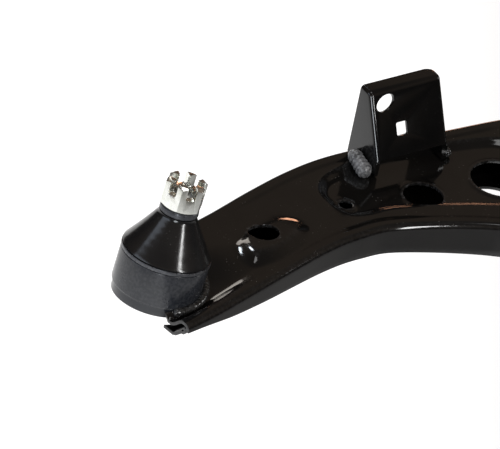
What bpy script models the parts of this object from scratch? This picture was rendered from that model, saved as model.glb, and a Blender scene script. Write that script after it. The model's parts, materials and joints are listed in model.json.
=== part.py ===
"""Left-hand lower control arm of a car's front suspension: two stamped shells, a ball joint and two bushes.

The origin is the centre of the ball. +X runs inboard along the arm, from the ball joint to the bushes,
+Y runs to the front of the car, and +Z points up, square to the arm's flat top, which lies at Z = 0.
Every dimension below is in millimetres.
"""

import math

import bmesh
import bpy
from mathutils import Matrix, Vector

MM = 0.001
GAP = 0.3  # left between neighbouring solids

# Stamped shells
SHEET = 2.5
SKIRT_AT_BALL = 9.0  # depth of the skirt's lower edge at the ball end
SKIRT_X = -14.0
SKIRT_SLOPE = 0.052  # growth of that depth per millimetre inboard
TOP_RADIUS = 4.0
ROUND_TURNS = (0, 30, 60, 90)  # degrees at which the top edge's radius has a ring of points
LIP = 2.2  # the lower shell's floor stands this far below the skirt
FLANGE = 6.0  # height of the lower shell's turned-up edge above the skirt's lower edge
END_NEAR_X = -14.0  # cut ends of the shells, behind and in front of the housing
END_FAR_X = 1.0

# Ball joint, along its own tilted axis
TILT_INBOARD = math.radians(9.1)
TILT_FRONT = math.radians(2.0)
HOUSING_R = 25.75
HOUSING_LOW = -13.3
HOUSING_TOP = 14.0
RING_R = HOUSING_R - 1.3  # smaller ring under the housing
CAVITY_R = 20.0
MOUTH_R = 15.5
COVER_R = 21.6
SEAT_LOW = -9.0
BALL_R = 12.0
NECK_R = 8.0
TAPER_R = (8.9, 7.5)  # large end and small end
TAPER_TOP = 32.0
THREAD_R = 7.0
BOOT_TOP = 41.7
NUT_LOW = 46.3
NUT_HEIGHT = 16.0
NUT_ACROSS_FLATS = 22.0
NUT_SLOT_DEPTH = 7.0
NUT_SLOT_WIDTH = 4.4
NUT_TURN = math.radians(35.0)  # bearing of one corner of the hexagon
STUD_END = NUT_LOW + 6.3  # the nut is only started on the thread, as delivered
COTTER_HOLE_R = 1.8

# Bushes, both on one line parallel to Y
BUSH_X = 325.0
BUSH_Z = -13.0
BUSH_FRONT_Y = -9.0
BUSH_REAR_Y = -189.0
TUBE_R = 23.0
TUBE_WALL = 3.0
TUBE_LENGTH = 50.0
CAN_WALL = 1.8
SLEEVE_R = 10.5
BOLT_R = 7.1
SLEEVE_LENGTH = 58.0

# Bracket: a leaning plate between two side flanges
BRACKET_CORNER = (177.0, 15.2)  # outer front corner of the left foot
BRACKET_TURN = math.radians(-6.9)
BRACKET_WIDTH = 50.0
BRACKET_SHEET = 2.4
BRACKET_DEPTH = 27.0
BRACKET_TOP = 43.5
PLATE_LOW = 8.0
LEDGE = 8.5  # depth of the flat top
CORNER_R = 7.0
SLOT_CENTRE = (9.2, 32.3)  # across the plate, and up its lean
SLOT_HALF = (6.6, 4.3)
SLOT_TURN = math.radians(-23.0)
SQUARE_CENTRE = (18.6, 15.5)
SQUARE = 8.0
WELD_LEFT = (-5.0, 4.3, 0.0, 19.0, 7.0)  # offset, radius, start, end, and where it starts to climb
WELD_RIGHT = (BRACKET_WIDTH + 3.2, 2.6, 0.0, 14.0, 2.0)
WELD_CLIMB = 4.0
POCKET_DEPTH = 3.0

REAR_EDGE = [
    (-60, -45), (-14, -43.5), (44, -37), (102, -28), (133, -27), (159, -32), (207, -57), (241, -88),
    (262, -122), (274, -160), (283, -192), (298, -212),
]
INBOARD_EDGE = [(302, -167), (288, -138), (282, -100), (288, -62), (302, -31)]
FRONT_EDGE = [
    (302, 16), (277, 23), (246, 29), (205, 37), (164, 43), (134, 43), (101, 39), (58, 32), (16, 29),
    (-60, 29),
]
POCKET = [
    (134, 8), (137, -7), (148, -13), (163, -15), (179, -21), (205, -33), (228, -45), (247, -48), (262, -36),
    (272, -14), (269, 6), (246, 17), (205, 27), (178, 31), (150, 29), (137, 20),
]
BOSS_CENTRE = (80.0, 1.0)
BOSS_BASE_R = 25.0
BOSS_TOP_R = 14.0
BOSS_HEIGHT = 4.0
HOLES = {
    "boss": (79.0, 0.5, 9.0),
    "drain": (145.0, 3.0, 4.0),
    "middle": (192.0, -11.0, 11.75),
    "inner": (243.0, -20.0, 17.0),
}

PAINT = ("arm_paint", (0.012, 0.012, 0.013), 0.18, 0.0)
STEEL = ("zinc_steel", (0.72, 0.72, 0.74), 0.22, 1.0)
BARE = ("machined_steel", (0.42, 0.43, 0.45), 0.35, 1.0)
RUBBER = ("rubber", (0.02, 0.02, 0.021), 0.55, 0.0)
BOOT = ("boot_rubber", (0.014, 0.014, 0.015), 0.16, 0.0)
PLASTIC = ("seat_plastic", (0.75, 0.74, 0.68), 0.4, 0.0)


def clear_scene():
    for old in list(bpy.data.objects):
        bpy.data.objects.remove(old)


def material(finish):
    name, colour, roughness, metallic = finish
    found = bpy.data.materials.get(name)
    if found:
        return found
    made = bpy.data.materials.new(name)
    made.use_nodes = True
    shader = made.node_tree.nodes["Principled BSDF"]
    shader.inputs["Base Color"].default_value = (*colour, 1.0)
    shader.inputs["Roughness"].default_value = roughness
    shader.inputs["Metallic"].default_value = metallic
    made.diffuse_color = (*colour, 1.0)
    return made


def object_of(name, shape, finish=PAINT, parent=None, smooth=True):
    """A named object from a bmesh whose coordinates are millimetres."""
    bmesh.ops.remove_doubles(shape, verts=shape.verts, dist=1e-5)
    bmesh.ops.scale(shape, vec=(MM, MM, MM), verts=shape.verts)
    bmesh.ops.triangulate(shape, faces=shape.faces)
    bmesh.ops.recalc_face_normals(shape, faces=shape.faces)
    mesh = bpy.data.meshes.new(name)
    shape.to_mesh(mesh)
    shape.free()
    if smooth:
        mesh.shade_smooth()
        mesh.set_sharp_from_angle(angle=math.radians(32))
    made = bpy.data.objects.new(name, mesh)
    bpy.context.collection.objects.link(made)
    made.data.materials.append(material(finish))
    made.parent = parent
    return made


def as_cutter(obj):
    obj.hide_render = True
    obj.display_type = "WIRE"
    return obj


def combine(target, other, operation):
    step = target.modifiers.new(operation.lower() + " " + other.name, "BOOLEAN")
    step.operation = operation
    step.object = as_cutter(other)


def cut(target, *others):
    for other in others:
        combine(target, other, "DIFFERENCE")


def join(target, *others):
    for other in others:
        combine(target, other, "UNION")


def between(a, b, c, d, steps=3):
    """Points of a Catmull-Rom curve from b up to c."""
    square, cube = 2 * a - 5 * b + 4 * c - d, 3 * b - a - 3 * c + d
    turns = [i / steps for i in range(steps)]
    return [0.5 * (2 * b + (c - a) * t + square * t**2 + cube * t**3) for t in turns]


def smooth_run(knots):
    """Points of a curve through the knots."""
    knots = [Vector(knot) for knot in knots]
    ends = [knots[0] * 2 - knots[1]] + knots + [knots[-1] * 2 - knots[-2]]
    points = []
    for four in zip(ends, ends[1:], ends[2:], ends[3:]):
        points += between(*four)
    return points + [knots[-1]]


def smooth_loop(knots):
    """Points of a closed curve through the knots."""
    knots = [Vector(knot) for knot in knots]
    count = len(knots)
    points = []
    for k in range(count):
        points += between(*(knots[(k + j - 1) % count] for j in range(4)))
    return points


def inset(outline, distance):
    """The outline moved inwards by a distance; it runs anticlockwise."""
    count = len(outline)
    moved = []
    for k in range(count):
        before, here, after = outline[k - 1], outline[k], outline[(k + 1) % count]
        first = (here - before).normalized()
        second = (after - here).normalized()
        inwards = (Vector((-first.y, first.x)) + Vector((-second.y, second.x))).normalized()
        share = max(0.35, inwards.dot(Vector((-second.y, second.x))))
        moved.append(here + inwards * (distance / share))
    return moved


def skirt_z(x):
    """Height of the skirt's lower edge."""
    return -SKIRT_AT_BALL - SKIRT_SLOPE * (x - SKIRT_X)


def level(height):
    return lambda x: height


def prism(name, outline, low, high, top_radius=0.0, **options):
    """A block over the outline between two heights, each given as a function of X."""
    shape = bmesh.new()
    levels = [(outline, low, 0.0)]
    for turn in ROUND_TURNS if top_radius else (90,):
        a = math.radians(turn)
        run = inset(outline, top_radius * (1 - math.cos(a))) if turn and top_radius else outline
        levels.append((run, high, top_radius * (1 - math.sin(a))))
    rings = [[shape.verts.new((p.x, p.y, z(p.x) - drop)) for p in run] for run, z, drop in levels]
    shape.faces.new(rings[0][::-1])
    shape.faces.new(rings[-1])
    for lower, upper in zip(rings, rings[1:]):
        for k in range(len(outline)):
            n = (k + 1) % len(outline)
            shape.faces.new((lower[k], lower[n], upper[n], upper[k]))
    return object_of(name, shape, **options)


def turned(name, profile, steps=48, frame=None, **options):
    """A solid turned about Z from a closed outline of (radius, height) points."""
    shape = bmesh.new()
    rings = []
    for radius, height in profile:
        if radius < 1e-6:
            rings.append([shape.verts.new((0, 0, height))])
            continue
        angles = [2 * math.pi * i / steps for i in range(steps)]
        places = [(radius * math.cos(a), radius * math.sin(a), height) for a in angles]
        rings.append([shape.verts.new(place) for place in places])
    for lower, upper in zip(rings, rings[1:] + rings[:1]):
        for i in range(steps):
            n = (i + 1) % steps
            corners = [lower[i % len(lower)], lower[n % len(lower)]]
            corners += [upper[n % len(upper)], upper[i % len(upper)]]
            unique = list(dict.fromkeys(corners))
            if len(unique) > 2:
                shape.faces.new(unique)
    if frame:
        bmesh.ops.transform(shape, matrix=frame, verts=shape.verts)
    return object_of(name, shape, **options)


def disc_cutter(name, x, y, radius, low, high, steps=34):
    place = Matrix.Translation((x, y, 0)) @ Matrix.Rotation(math.radians(2.3), 4, "Z")
    return turned(name, [(0, low), (radius, low), (radius, high), (0, high)], steps, place)


def box_cutter(name, low, high):
    shape = bmesh.new()
    bmesh.ops.create_cube(shape, size=1.0)
    size = Vector(high) - Vector(low)
    centre = (Vector(high) + Vector(low)) / 2
    bmesh.ops.scale(shape, vec=size, verts=shape.verts)
    bmesh.ops.translate(shape, vec=centre, verts=shape.verts)
    return object_of(name, shape, smooth=False)


def bead(name, route, radius, sides=8, **options):
    """A weld bead: a round rod along a route of points, closed at its ends."""
    shape = bmesh.new()
    route = [Vector(p) for p in route]
    rings = []
    for k, point in enumerate(route):
        along = (route[min(k + 1, len(route) - 1)] - route[max(k - 1, 0)]).normalized()
        side = along.cross(Vector((0, 0, 1))).normalized()
        up = side.cross(along)
        end = 0.55 if k in (0, len(route) - 1) else 1.0
        angles = [2 * math.pi * i / sides for i in range(sides)]
        rings.append(
            [shape.verts.new(point + (side * math.cos(a) + up * math.sin(a)) * radius * end) for a in angles]
        )
    for a, b in zip(rings, rings[1:]):
        for i in range(sides):
            n = (i + 1) % sides
            shape.faces.new((a[i], a[n], b[n], b[i]))
    shape.faces.new(rings[0])
    shape.faces.new(rings[-1][::-1])
    return object_of(name, shape, **options)


def ball_axis():
    return Vector((math.tan(TILT_INBOARD), math.tan(TILT_FRONT), 1.0)).normalized()


def ball_matrix():
    return Vector((0, 0, 1)).rotation_difference(ball_axis()).to_matrix().to_4x4()


def bush_matrix(y):
    """Turns a part modelled along Z to lie along Y on the bushes' line."""
    return Matrix.Translation((BUSH_X, y, BUSH_Z)) @ Matrix.Rotation(math.radians(-90), 4, "X")


def empty(name, matrix):
    made = bpy.data.objects.new(name, None)
    bpy.context.collection.objects.link(made)
    made.matrix_world = matrix
    return made


def frame_at(name, matrix):
    scaled = matrix.copy()
    scaled.translation = matrix.translation * MM
    return empty(name, scaled)


def arm_outline():
    """The arm's plan, anticlockwise, running past the ball end and into both bush tubes."""
    rear_end = [Vector((BUSH_X, REAR_EDGE[-1][1])), Vector((BUSH_X, INBOARD_EDGE[0][1]))]
    front_end = [Vector((BUSH_X, INBOARD_EDGE[-1][1])), Vector((BUSH_X, FRONT_EDGE[0][1]))]
    return smooth_run(REAR_EDGE) + rear_end + smooth_run(INBOARD_EDGE) + front_end + smooth_run(FRONT_EDGE)


def end_cutters(prefix):
    """What both shells make room for: the open ends, the housing and the two bush tubes."""
    clear = HOUSING_R + GAP + 0.2
    room = [(0, -60), (clear, -60), (clear, 60), (0, 60)]
    housing = turned(prefix + "_housing_room", room, 44, ball_matrix())
    near = box_cutter(prefix + "_near_end", (-90, -80, -60), (END_NEAR_X, 0, 40))
    far = box_cutter(prefix + "_far_end", (-90, -0.5, -60), (END_FAR_X, 80, 40))
    line = Matrix.Translation((BUSH_X, 0, BUSH_Z)) @ Matrix.Rotation(math.radians(-90), 4, "X")
    clear = TUBE_R + GAP + 0.1
    tubes = turned(prefix + "_tube_room", [(0, -240), (clear, -240), (clear, 60), (0, 60)], 40, line)
    return [housing, near, far, tubes]


def upper_shell():
    outline = arm_outline()
    shell = prism("upper_shell", outline, skirt_z, level(0.0), TOP_RADIUS)
    x, y = BOSS_CENTRE
    place = Matrix.Translation((x, y, 0))
    boss = turned(
        "boss", [(0, -1.2), (BOSS_BASE_R + 3, -1.2), (BOSS_TOP_R, BOSS_HEIGHT), (0, BOSS_HEIGHT)], 48, place
    )
    hollow = prism("upper_hollow", inset(outline, SHEET), level(-90.0), level(-SHEET), 0.0)
    under = BOSS_HEIGHT - SHEET
    boss_hollow = turned(
        "boss_hollow", [(0, -6), (BOSS_BASE_R + 4, -6), (BOSS_TOP_R - 0.5, under), (0, under)], 48, place
    )
    pocket = smooth_loop(POCKET)
    wider = inset(pocket, -SHEET)
    floor = prism("pocket_floor", wider, level(-POCKET_DEPTH - SHEET), level(-1.0))
    room = prism("pocket_room", pocket, level(-POCKET_DEPTH), level(5.0))
    join(shell, boss)
    cut(shell, hollow, boss_hollow)
    join(shell, floor)
    cut(shell, room, *end_cutters("upper"))
    for label, (x, y, radius) in HOLES.items():
        cut(shell, disc_cutter("hole_" + label, x, y, radius, -12, 12))


def lower_shell():
    outline = inset(arm_outline(), SHEET + GAP)

    def low(x):
        return skirt_z(x) - LIP

    def rim(x):
        return skirt_z(x) + FLANGE

    def floor(x):
        return low(x) + SHEET

    shell = prism("lower_shell", outline, low, rim)
    hollow = prism("lower_hollow", inset(outline, SHEET), floor, level(20.0))
    cut(shell, hollow, *end_cutters("lower"))
    x, y, radius = HOLES["inner"]
    cut(shell, disc_cutter("lower_hole", x, y, radius, -60, 12))


def seam_welds():
    """Beads under the skirt's edge, outside the lower shell."""
    outline = {"rear": smooth_run(REAR_EDGE), "front": smooth_run(FRONT_EDGE)}
    for side, points in outline.items():
        inner = inset(points, SHEET / 2)[1:-1]
        start = END_NEAR_X if side == "rear" else END_FAR_X
        kept = [p for p in inner if start + 6 < p.x < BUSH_X - 32]
        bead("seam_weld_" + side, [(p.x, p.y, skirt_z(p.x) - GAP - 1.0) for p in kept], 0.95, 6)


def bracket():
    """Side profile of the flanges, then the hollow between them, open below and behind."""
    x, y = BRACKET_CORNER
    place = Matrix.Translation((x, y, 0)) @ Matrix.Rotation(BRACKET_TURN, 4, "Z")
    foot = -POCKET_DEPTH + GAP
    lean_top = BRACKET_DEPTH - LEDGE
    side = [(0, foot), (BRACKET_DEPTH, foot), (BRACKET_DEPTH, BRACKET_TOP)]
    side += [(lean_top, BRACKET_TOP), (0, PLATE_LOW)]
    body = bracket_block("bracket", side, 0, BRACKET_WIDTH, place)
    t = BRACKET_SHEET
    lean = math.atan2(lean_top, BRACKET_TOP - PLATE_LOW)
    back = t / math.cos(lean)
    behind = BRACKET_DEPTH + 30
    inside = [
        (-20, -30), (behind, -30), (behind, BRACKET_TOP - t), (lean_top + back, BRACKET_TOP - t),
        (back, PLATE_LOW), (-20, PLATE_LOW),
    ]
    cut(body, bracket_block("bracket_hollow", inside, t, BRACKET_WIDTH - t, place))
    plate = place @ Matrix.Translation((0, 0, PLATE_LOW)) @ Matrix.Rotation(-lean, 4, "X")
    cut(body, slot_cutter(plate), square_cutter(plate), corner_cutter(place))
    edges = box_cutter("arm_edge_room", (120, 16, -40), (300, 80, GAP))
    cut(body, edges)
    return place


def bracket_block(name, side, start, end, place):
    shape = bmesh.new()
    left = [shape.verts.new((start, depth, height)) for depth, height in side]
    right = [shape.verts.new((end, depth, height)) for depth, height in side]
    shape.faces.new(left[::-1])
    shape.faces.new(right)
    for k in range(len(side)):
        n = (k + 1) % len(side)
        shape.faces.new((left[k], left[n], right[n], right[k]))
    bmesh.ops.transform(shape, matrix=place, verts=shape.verts)
    return object_of(name, shape)


def slot_cutter(plate):
    """The slanted oval slot near the plate's upper left corner."""
    shape = bmesh.new()
    across, up = SLOT_CENTRE
    turn = Matrix.Translation((across, 0, up)) @ Matrix.Rotation(SLOT_TURN, 4, "Y")
    long_half, short_half = SLOT_HALF
    points = []
    for i in range(28):
        a = 2 * math.pi * i / 28
        points.append((long_half * math.cos(a), short_half * math.sin(a)))
    front = [shape.verts.new((u, -8, v)) for u, v in points]
    back = [shape.verts.new((u, 12, v)) for u, v in points]
    shape.faces.new(front[::-1])
    shape.faces.new(back)
    for k in range(len(points)):
        n = (k + 1) % len(points)
        shape.faces.new((front[k], front[n], back[n], back[k]))
    bmesh.ops.transform(shape, matrix=plate @ turn, verts=shape.verts)
    return object_of("bracket_slot", shape)


def square_cutter(plate):
    shape = bmesh.new()
    bmesh.ops.create_cube(shape, size=1.0)
    across, up = SQUARE_CENTRE
    bmesh.ops.scale(shape, vec=(SQUARE, 20.0, SQUARE), verts=shape.verts)
    bmesh.ops.translate(shape, vec=(across, 0, up), verts=shape.verts)
    bmesh.ops.transform(shape, matrix=plate, verts=shape.verts)
    return object_of("bracket_square", shape)


def corner_cutter(place):
    """Rounds the plate's upper right corner: a block with a quarter round taken out of it."""
    u, v = BRACKET_WIDTH - CORNER_R, BRACKET_TOP - CORNER_R
    arc = [math.radians(90 - 15 * i) for i in range(7)]
    points = [(u + CORNER_R * math.cos(a), v + CORNER_R * math.sin(a)) for a in arc]
    points += [(BRACKET_WIDTH + 5, v), (BRACKET_WIDTH + 5, BRACKET_TOP + 5), (u, BRACKET_TOP + 5)]
    shape = bmesh.new()
    front = [shape.verts.new((u, -5, v)) for u, v in points]
    back = [shape.verts.new((u, BRACKET_DEPTH + 5, v)) for u, v in points]
    shape.faces.new(front)
    shape.faces.new(back[::-1])
    for k in range(len(points)):
        n = (k + 1) % len(points)
        shape.faces.new((front[n], front[k], back[k], back[n]))
    bmesh.ops.transform(shape, matrix=place, verts=shape.verts)
    return object_of("bracket_corner", shape)


def bracket_welds(place):
    """One bead along the foot of each flange, from the pocket's floor up on to the arm's top."""
    for side, shape in (("left", WELD_LEFT), ("right", WELD_RIGHT)):
        offset, radius, start, end, foot = shape
        low = -POCKET_DEPTH + GAP + radius
        points = []
        for i in range(9):
            depth = start + (end - start) * i / 8
            rise = POCKET_DEPTH * min(1.0, max(0.0, (depth - foot) / WELD_CLIMB))
            points.append(place @ Vector((offset, depth, low + rise)))
        bead("bracket_weld_" + side, points, radius)


def ball_joint():
    """Everything on the tilted axis of the ball joint; the stud's pieces hang on a frame of their own."""
    frame = frame_at("ball_joint_axis", ball_matrix())
    swing = frame_at("stud_axis", ball_matrix())
    turned(
        "ball_housing",
        [
            (RING_R, HOUSING_LOW), (RING_R, -7.6), (HOUSING_R, -6.9), (HOUSING_R, HOUSING_TOP - 0.8),
            (HOUSING_R - 0.8, HOUSING_TOP), (MOUTH_R, HOUSING_TOP), (MOUTH_R, 11), (CAVITY_R, 9),
            (CAVITY_R, -11.9), (COVER_R, -11.9), (COVER_R, HOUSING_LOW),
        ],
        44, parent=frame,
    )
    edge = COVER_R - 0.4
    turned(
        "housing_cover",
        [(0, -12.2), (edge, -12.2), (edge, -13.6), (17, -14.0), (0, -14.0)], parent=frame, finish=BARE,
    )
    seat_r = BALL_R + GAP
    low_angle, high_angle = math.asin(SEAT_LOW / seat_r), math.radians(25)
    arc = [low_angle + (high_angle - low_angle) * i / 8 for i in range(9)]
    hollow = [(seat_r * math.cos(a), seat_r * math.sin(a)) for a in arc]
    turned(
        "ball_seat",
        [(CAVITY_R - GAP, 8.7), (CAVITY_R - GAP, SEAT_LOW), *hollow, (MOUTH_R + 0.1, 8.7)],
        parent=frame, finish=PLASTIC,
    )
    turned(
        "seat_spring", [(11.0, -9.4), (11.0, -10.4), (19.0, -11.7), (19.0, -10.7)], parent=frame, finish=BARE,
    )
    stud(swing)
    boot(frame, swing)
    castle_nut(swing)


def stud(frame):
    neck_angle = math.acos(NECK_R / BALL_R)
    low_angle = math.radians(-56)
    arc = [low_angle + (neck_angle - low_angle) * i / 12 for i in range(13)]
    ball = [(BALL_R * math.cos(a), BALL_R * math.sin(a)) for a in arc]
    top = STUD_END
    body = turned(
        "ball_stud",
        [
            (0, ball[0][1]), *ball, (NECK_R, 17), (TAPER_R[0], 20), (TAPER_R[1], TAPER_TOP),
            (THREAD_R - 0.6, TAPER_TOP + 0.6), (THREAD_R, TAPER_TOP + 1.4), (THREAD_R, top - 1.2),
            (THREAD_R - 1.2, top), (0, top),
        ],
        36, parent=frame, finish=BARE,
    )
    across = Matrix.Rotation(NUT_TURN + math.radians(30), 4, "Z") @ Matrix.Rotation(math.radians(90), 4, "Y")
    height = Matrix.Translation((0, 0, STUD_END - 4.0))
    hole = turned(
        "cotter_hole", [(0, -20), (COTTER_HOLE_R, -20), (COTTER_HOLE_R, 20), (0, 20)], 16, height @ across,
        parent=frame,
    )
    cut(body, hole)


def boot(frame, swing):
    base = HOUSING_TOP + GAP
    shoulder = base + 2.4
    turned(
        "dust_boot",
        [
            (24.9, base), (24.9, shoulder), (25.7, shoulder + 0.2), (25.7, shoulder + 0.9),
            (11.0, BOOT_TOP - 0.5), (10.4, BOOT_TOP), (9.2, BOOT_TOP), (9.2, NUT_LOW - 0.6),
            (7.9, NUT_LOW - 0.6), (7.9, 39.6), (8.6, 39.0), (23.0, shoulder), (22.4, base),
        ],
        44, parent=frame, finish=BOOT,
    )
    turned(
        "boot_clip_lower",
        [(25.2, base + 0.1), (26.0, base + 0.1), (26.0, shoulder - 0.2), (25.2, shoulder - 0.2)],
        44, parent=frame,
    )
    turned(
        "boot_clip_upper",
        [
            (9.5, BOOT_TOP + 0.3), (10.9, BOOT_TOP + 0.3), (11.3, BOOT_TOP + 1.2), (11.0, NUT_LOW - 0.9),
            (10.4, NUT_LOW - 0.4), (9.5, NUT_LOW - 0.4),
        ],
        36, parent=swing,
    )


def castle_nut(frame):
    corner_r = NUT_ACROSS_FLATS / math.sqrt(3)
    top = NUT_LOW + NUT_HEIGHT
    shape = bmesh.new()
    rings = []
    for height in (NUT_LOW, top):
        angles = [NUT_TURN + math.radians(60 * i) for i in range(6)]
        places = [(corner_r * math.cos(a), corner_r * math.sin(a), height) for a in angles]
        rings.append([shape.verts.new(place) for place in places])
    for i in range(6):
        n = (i + 1) % 6
        shape.faces.new((rings[0][i], rings[0][n], rings[1][n], rings[1][i]))
    shape.faces.new(rings[0][::-1])
    shape.faces.new(rings[1])
    nut = object_of("castle_nut", shape, STEEL, frame)
    flat_r = NUT_ACROSS_FLATS / 2
    rise = (corner_r - flat_r) * 0.6
    lathe = turned(
        "nut_chamfer",
        [
            (0, NUT_LOW - 0.01), (flat_r, NUT_LOW - 0.01), (corner_r + 0.1, NUT_LOW + rise),
            (corner_r + 0.1, top - rise), (flat_r, top + 0.01), (0, top + 0.01),
        ],
        48, parent=frame,
    )
    combine(nut, lathe, "INTERSECT")
    bore = turned(
        "nut_bore",
        [(0, NUT_LOW - 5), (THREAD_R + GAP, NUT_LOW - 5), (THREAD_R + GAP, top + 5), (0, top + 5)],
        40, parent=frame,
    )
    cut(nut, bore)
    for k in range(3):
        half = NUT_SLOT_WIDTH / 2
        slot = box_cutter(f"nut_slot_{k}", (-20, -half, top - NUT_SLOT_DEPTH), (20, half, top + 5))
        slot.data.transform(Matrix.Rotation(NUT_TURN + math.radians(30 + 60 * k), 4, "Z"))
        slot.parent = frame
        cut(nut, slot)


def housing_weld():
    """A fillet on the arm's top round the inboard side of the housing, square to the tilted axis."""
    reach = HOUSING_R + GAP + 3.0
    axis = ball_matrix()
    route = []
    for i in range(22):
        bearing = math.radians(-112 + 9.4 * i)
        point = axis @ Vector((reach * math.cos(bearing), reach * math.sin(bearing), 0))
        route.append((point.x, point.y, 1.9 + GAP))
    bead("housing_weld", route, 1.9)


def bush(prefix, y):
    """Tube, can, rubber and sleeve, one inside the other."""
    place = bush_matrix(y)
    frame = frame_at(prefix + "_axis", place)
    half = TUBE_LENGTH / 2
    can_r = TUBE_R - TUBE_WALL - GAP
    rubber_r = can_r - CAN_WALL - GAP
    half_sleeve = SLEEVE_LENGTH / 2
    turned(prefix + "_tube", ring(TUBE_R, TUBE_R - TUBE_WALL, half, 0.6), 36, parent=frame)
    turned(prefix + "_can", ring(can_r, can_r - CAN_WALL, half - 1.0, 0.3), 36, parent=frame, finish=BARE)
    bore = SLEEVE_R + GAP
    turned(
        prefix + "_rubber",
        [
            (bore, -half + 0.5), (bore + 4, -half + 0.5), (rubber_r - 3, -half + 4.5), (rubber_r, -half + 3),
            (rubber_r, half - 3), (rubber_r - 3, half - 4.5), (bore + 4, half - 0.5), (bore, half - 0.5),
        ],
        36, parent=frame, finish=RUBBER,
    )
    turned(prefix + "_sleeve", ring(SLEEVE_R, BOLT_R, half_sleeve, 0.5), 28, parent=frame, finish=BARE)
    tube_weld(prefix, y)


def ring(outer, inner, half, chamfer):
    return [
        (inner, -half), (outer - chamfer, -half), (outer, -half + chamfer), (outer, half - chamfer),
        (outer - chamfer, half), (inner, half),
    ]


def tube_weld(prefix, y):
    """A bead on the arm's top along the line where the shell meets the tube."""
    rise = 1.7 + GAP
    reach = math.sqrt((TUBE_R + GAP + 1.7) ** 2 - (rise - BUSH_Z) ** 2)
    half = TUBE_LENGTH / 2 - 5
    route = [(BUSH_X - reach - 0.4, y - half + 2 * half * i / 6, rise) for i in range(7)]
    bead(prefix + "_weld", route, 1.6)


def main():
    clear_scene()
    upper_shell()
    lower_shell()
    seam_welds()
    place = bracket()
    bracket_welds(place)
    ball_joint()
    housing_weld()
    bush("front_bush", BUSH_FRONT_Y)
    bush("rear_bush", BUSH_REAR_Y)


main()
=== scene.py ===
"""Looks of a stamped steel lower control arm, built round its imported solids.

The frame's origin is the centre of the ball, +X runs inboard, +Y to the front of the car and +Z up, square
to the arm's flat top. Sizes are in millimetres and become metres through MM where a mesh is made.
"""

from __future__ import annotations

import json
import logging
import math
import random
from contextlib import contextmanager
from dataclasses import dataclass, field
from enum import Enum
from typing import Callable, Iterator, Sequence

import bmesh
import bpy
import numpy as np
from mathutils import Matrix, Vector
from mathutils.geometry import delaunay_2d_cdt
from mathutils.kdtree import KDTree

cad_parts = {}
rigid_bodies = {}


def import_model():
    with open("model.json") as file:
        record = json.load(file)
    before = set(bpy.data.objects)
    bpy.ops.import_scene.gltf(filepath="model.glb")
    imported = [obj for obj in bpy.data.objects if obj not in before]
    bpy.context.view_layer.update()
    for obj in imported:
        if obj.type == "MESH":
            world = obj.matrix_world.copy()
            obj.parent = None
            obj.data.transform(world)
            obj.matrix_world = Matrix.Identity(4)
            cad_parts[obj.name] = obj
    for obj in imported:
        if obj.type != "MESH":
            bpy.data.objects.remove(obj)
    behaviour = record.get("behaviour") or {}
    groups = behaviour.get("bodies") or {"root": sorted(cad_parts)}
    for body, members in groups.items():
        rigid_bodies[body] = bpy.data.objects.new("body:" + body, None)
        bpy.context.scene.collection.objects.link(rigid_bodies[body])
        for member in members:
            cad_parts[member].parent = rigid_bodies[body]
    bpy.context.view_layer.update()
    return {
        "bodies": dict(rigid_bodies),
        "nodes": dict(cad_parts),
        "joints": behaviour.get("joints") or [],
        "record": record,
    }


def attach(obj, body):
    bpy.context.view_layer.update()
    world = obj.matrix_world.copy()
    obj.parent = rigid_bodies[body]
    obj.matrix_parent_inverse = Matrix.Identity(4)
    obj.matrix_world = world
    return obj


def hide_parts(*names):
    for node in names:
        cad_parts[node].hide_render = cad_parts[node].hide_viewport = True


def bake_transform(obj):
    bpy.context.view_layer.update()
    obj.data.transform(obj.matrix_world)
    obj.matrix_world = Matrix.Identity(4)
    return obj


LOG = logging.getLogger("control_arm")
MM = 0.001
GAP = 0.3
MERGE = 1e-6  # metres: doubles nearer than this are one vertex

Piece = bpy.types.Object
Socket = bpy.types.NodeSocket
Tree = bpy.types.NodeTree
Colour = tuple[float, float, float]
Pair = tuple[float, float]
Profile = Sequence[Pair]
Hole = tuple[float, float, float]  # plan place of its middle, and its radius


class Element(Enum):
    """Kinds of mesh element that edit mode can select."""

    VERT = "VERT"
    EDGE = "EDGE"
    FACE = "FACE"


class Side(Enum):
    """Which way a pressed shell's skirt turns from its flat."""

    DOWN = 1
    UP = -1


# Modelling helpers


def only(piece: Piece) -> None:
    """Makes a piece the one selected and active object.

    Args:
        piece: The object to work on.
    """
    for other in bpy.context.selected_objects:
        other.select_set(False)
    piece.select_set(True)
    bpy.context.view_layer.objects.active = piece


@contextmanager
def editing(piece: Piece) -> Iterator[None]:
    """Holds a piece in edit mode for the length of a with block.

    Args:
        piece: The object to edit.
    """
    only(piece)
    bpy.ops.object.mode_set(mode="EDIT")
    yield
    bpy.ops.object.mode_set(mode="OBJECT")


def centre_of(item: bmesh.types.BMVert | bmesh.types.BMEdge | bmesh.types.BMFace) -> Vector:
    """Middle of a mesh element.

    Args:
        item: A vertex, edge or face.

    Returns:
        Its middle, in metres.
    """
    if isinstance(item, bmesh.types.BMVert):
        return item.co
    return sum((vert.co for vert in item.verts), Vector()) / len(item.verts)


def choose(piece: Piece, element: Element, test: Callable[[Vector, object], bool]) -> None:
    """Selects the elements that pass a test, in edit mode.

    Args:
        piece: The object in edit mode.
        element: Kind of element to select.
        test: Takes an element's middle in millimetres and the element.
    """
    bpy.ops.mesh.select_mode(type=element.value)
    bpy.ops.mesh.select_all(action="DESELECT")
    shape = bmesh.from_edit_mesh(piece.data)
    items = {Element.VERT: shape.verts, Element.EDGE: shape.edges, Element.FACE: shape.faces}[element]
    for item in items:
        if test(centre_of(item) / MM, item):
            item.select_set(True)
    bmesh.update_edit_mesh(piece.data)


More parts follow.
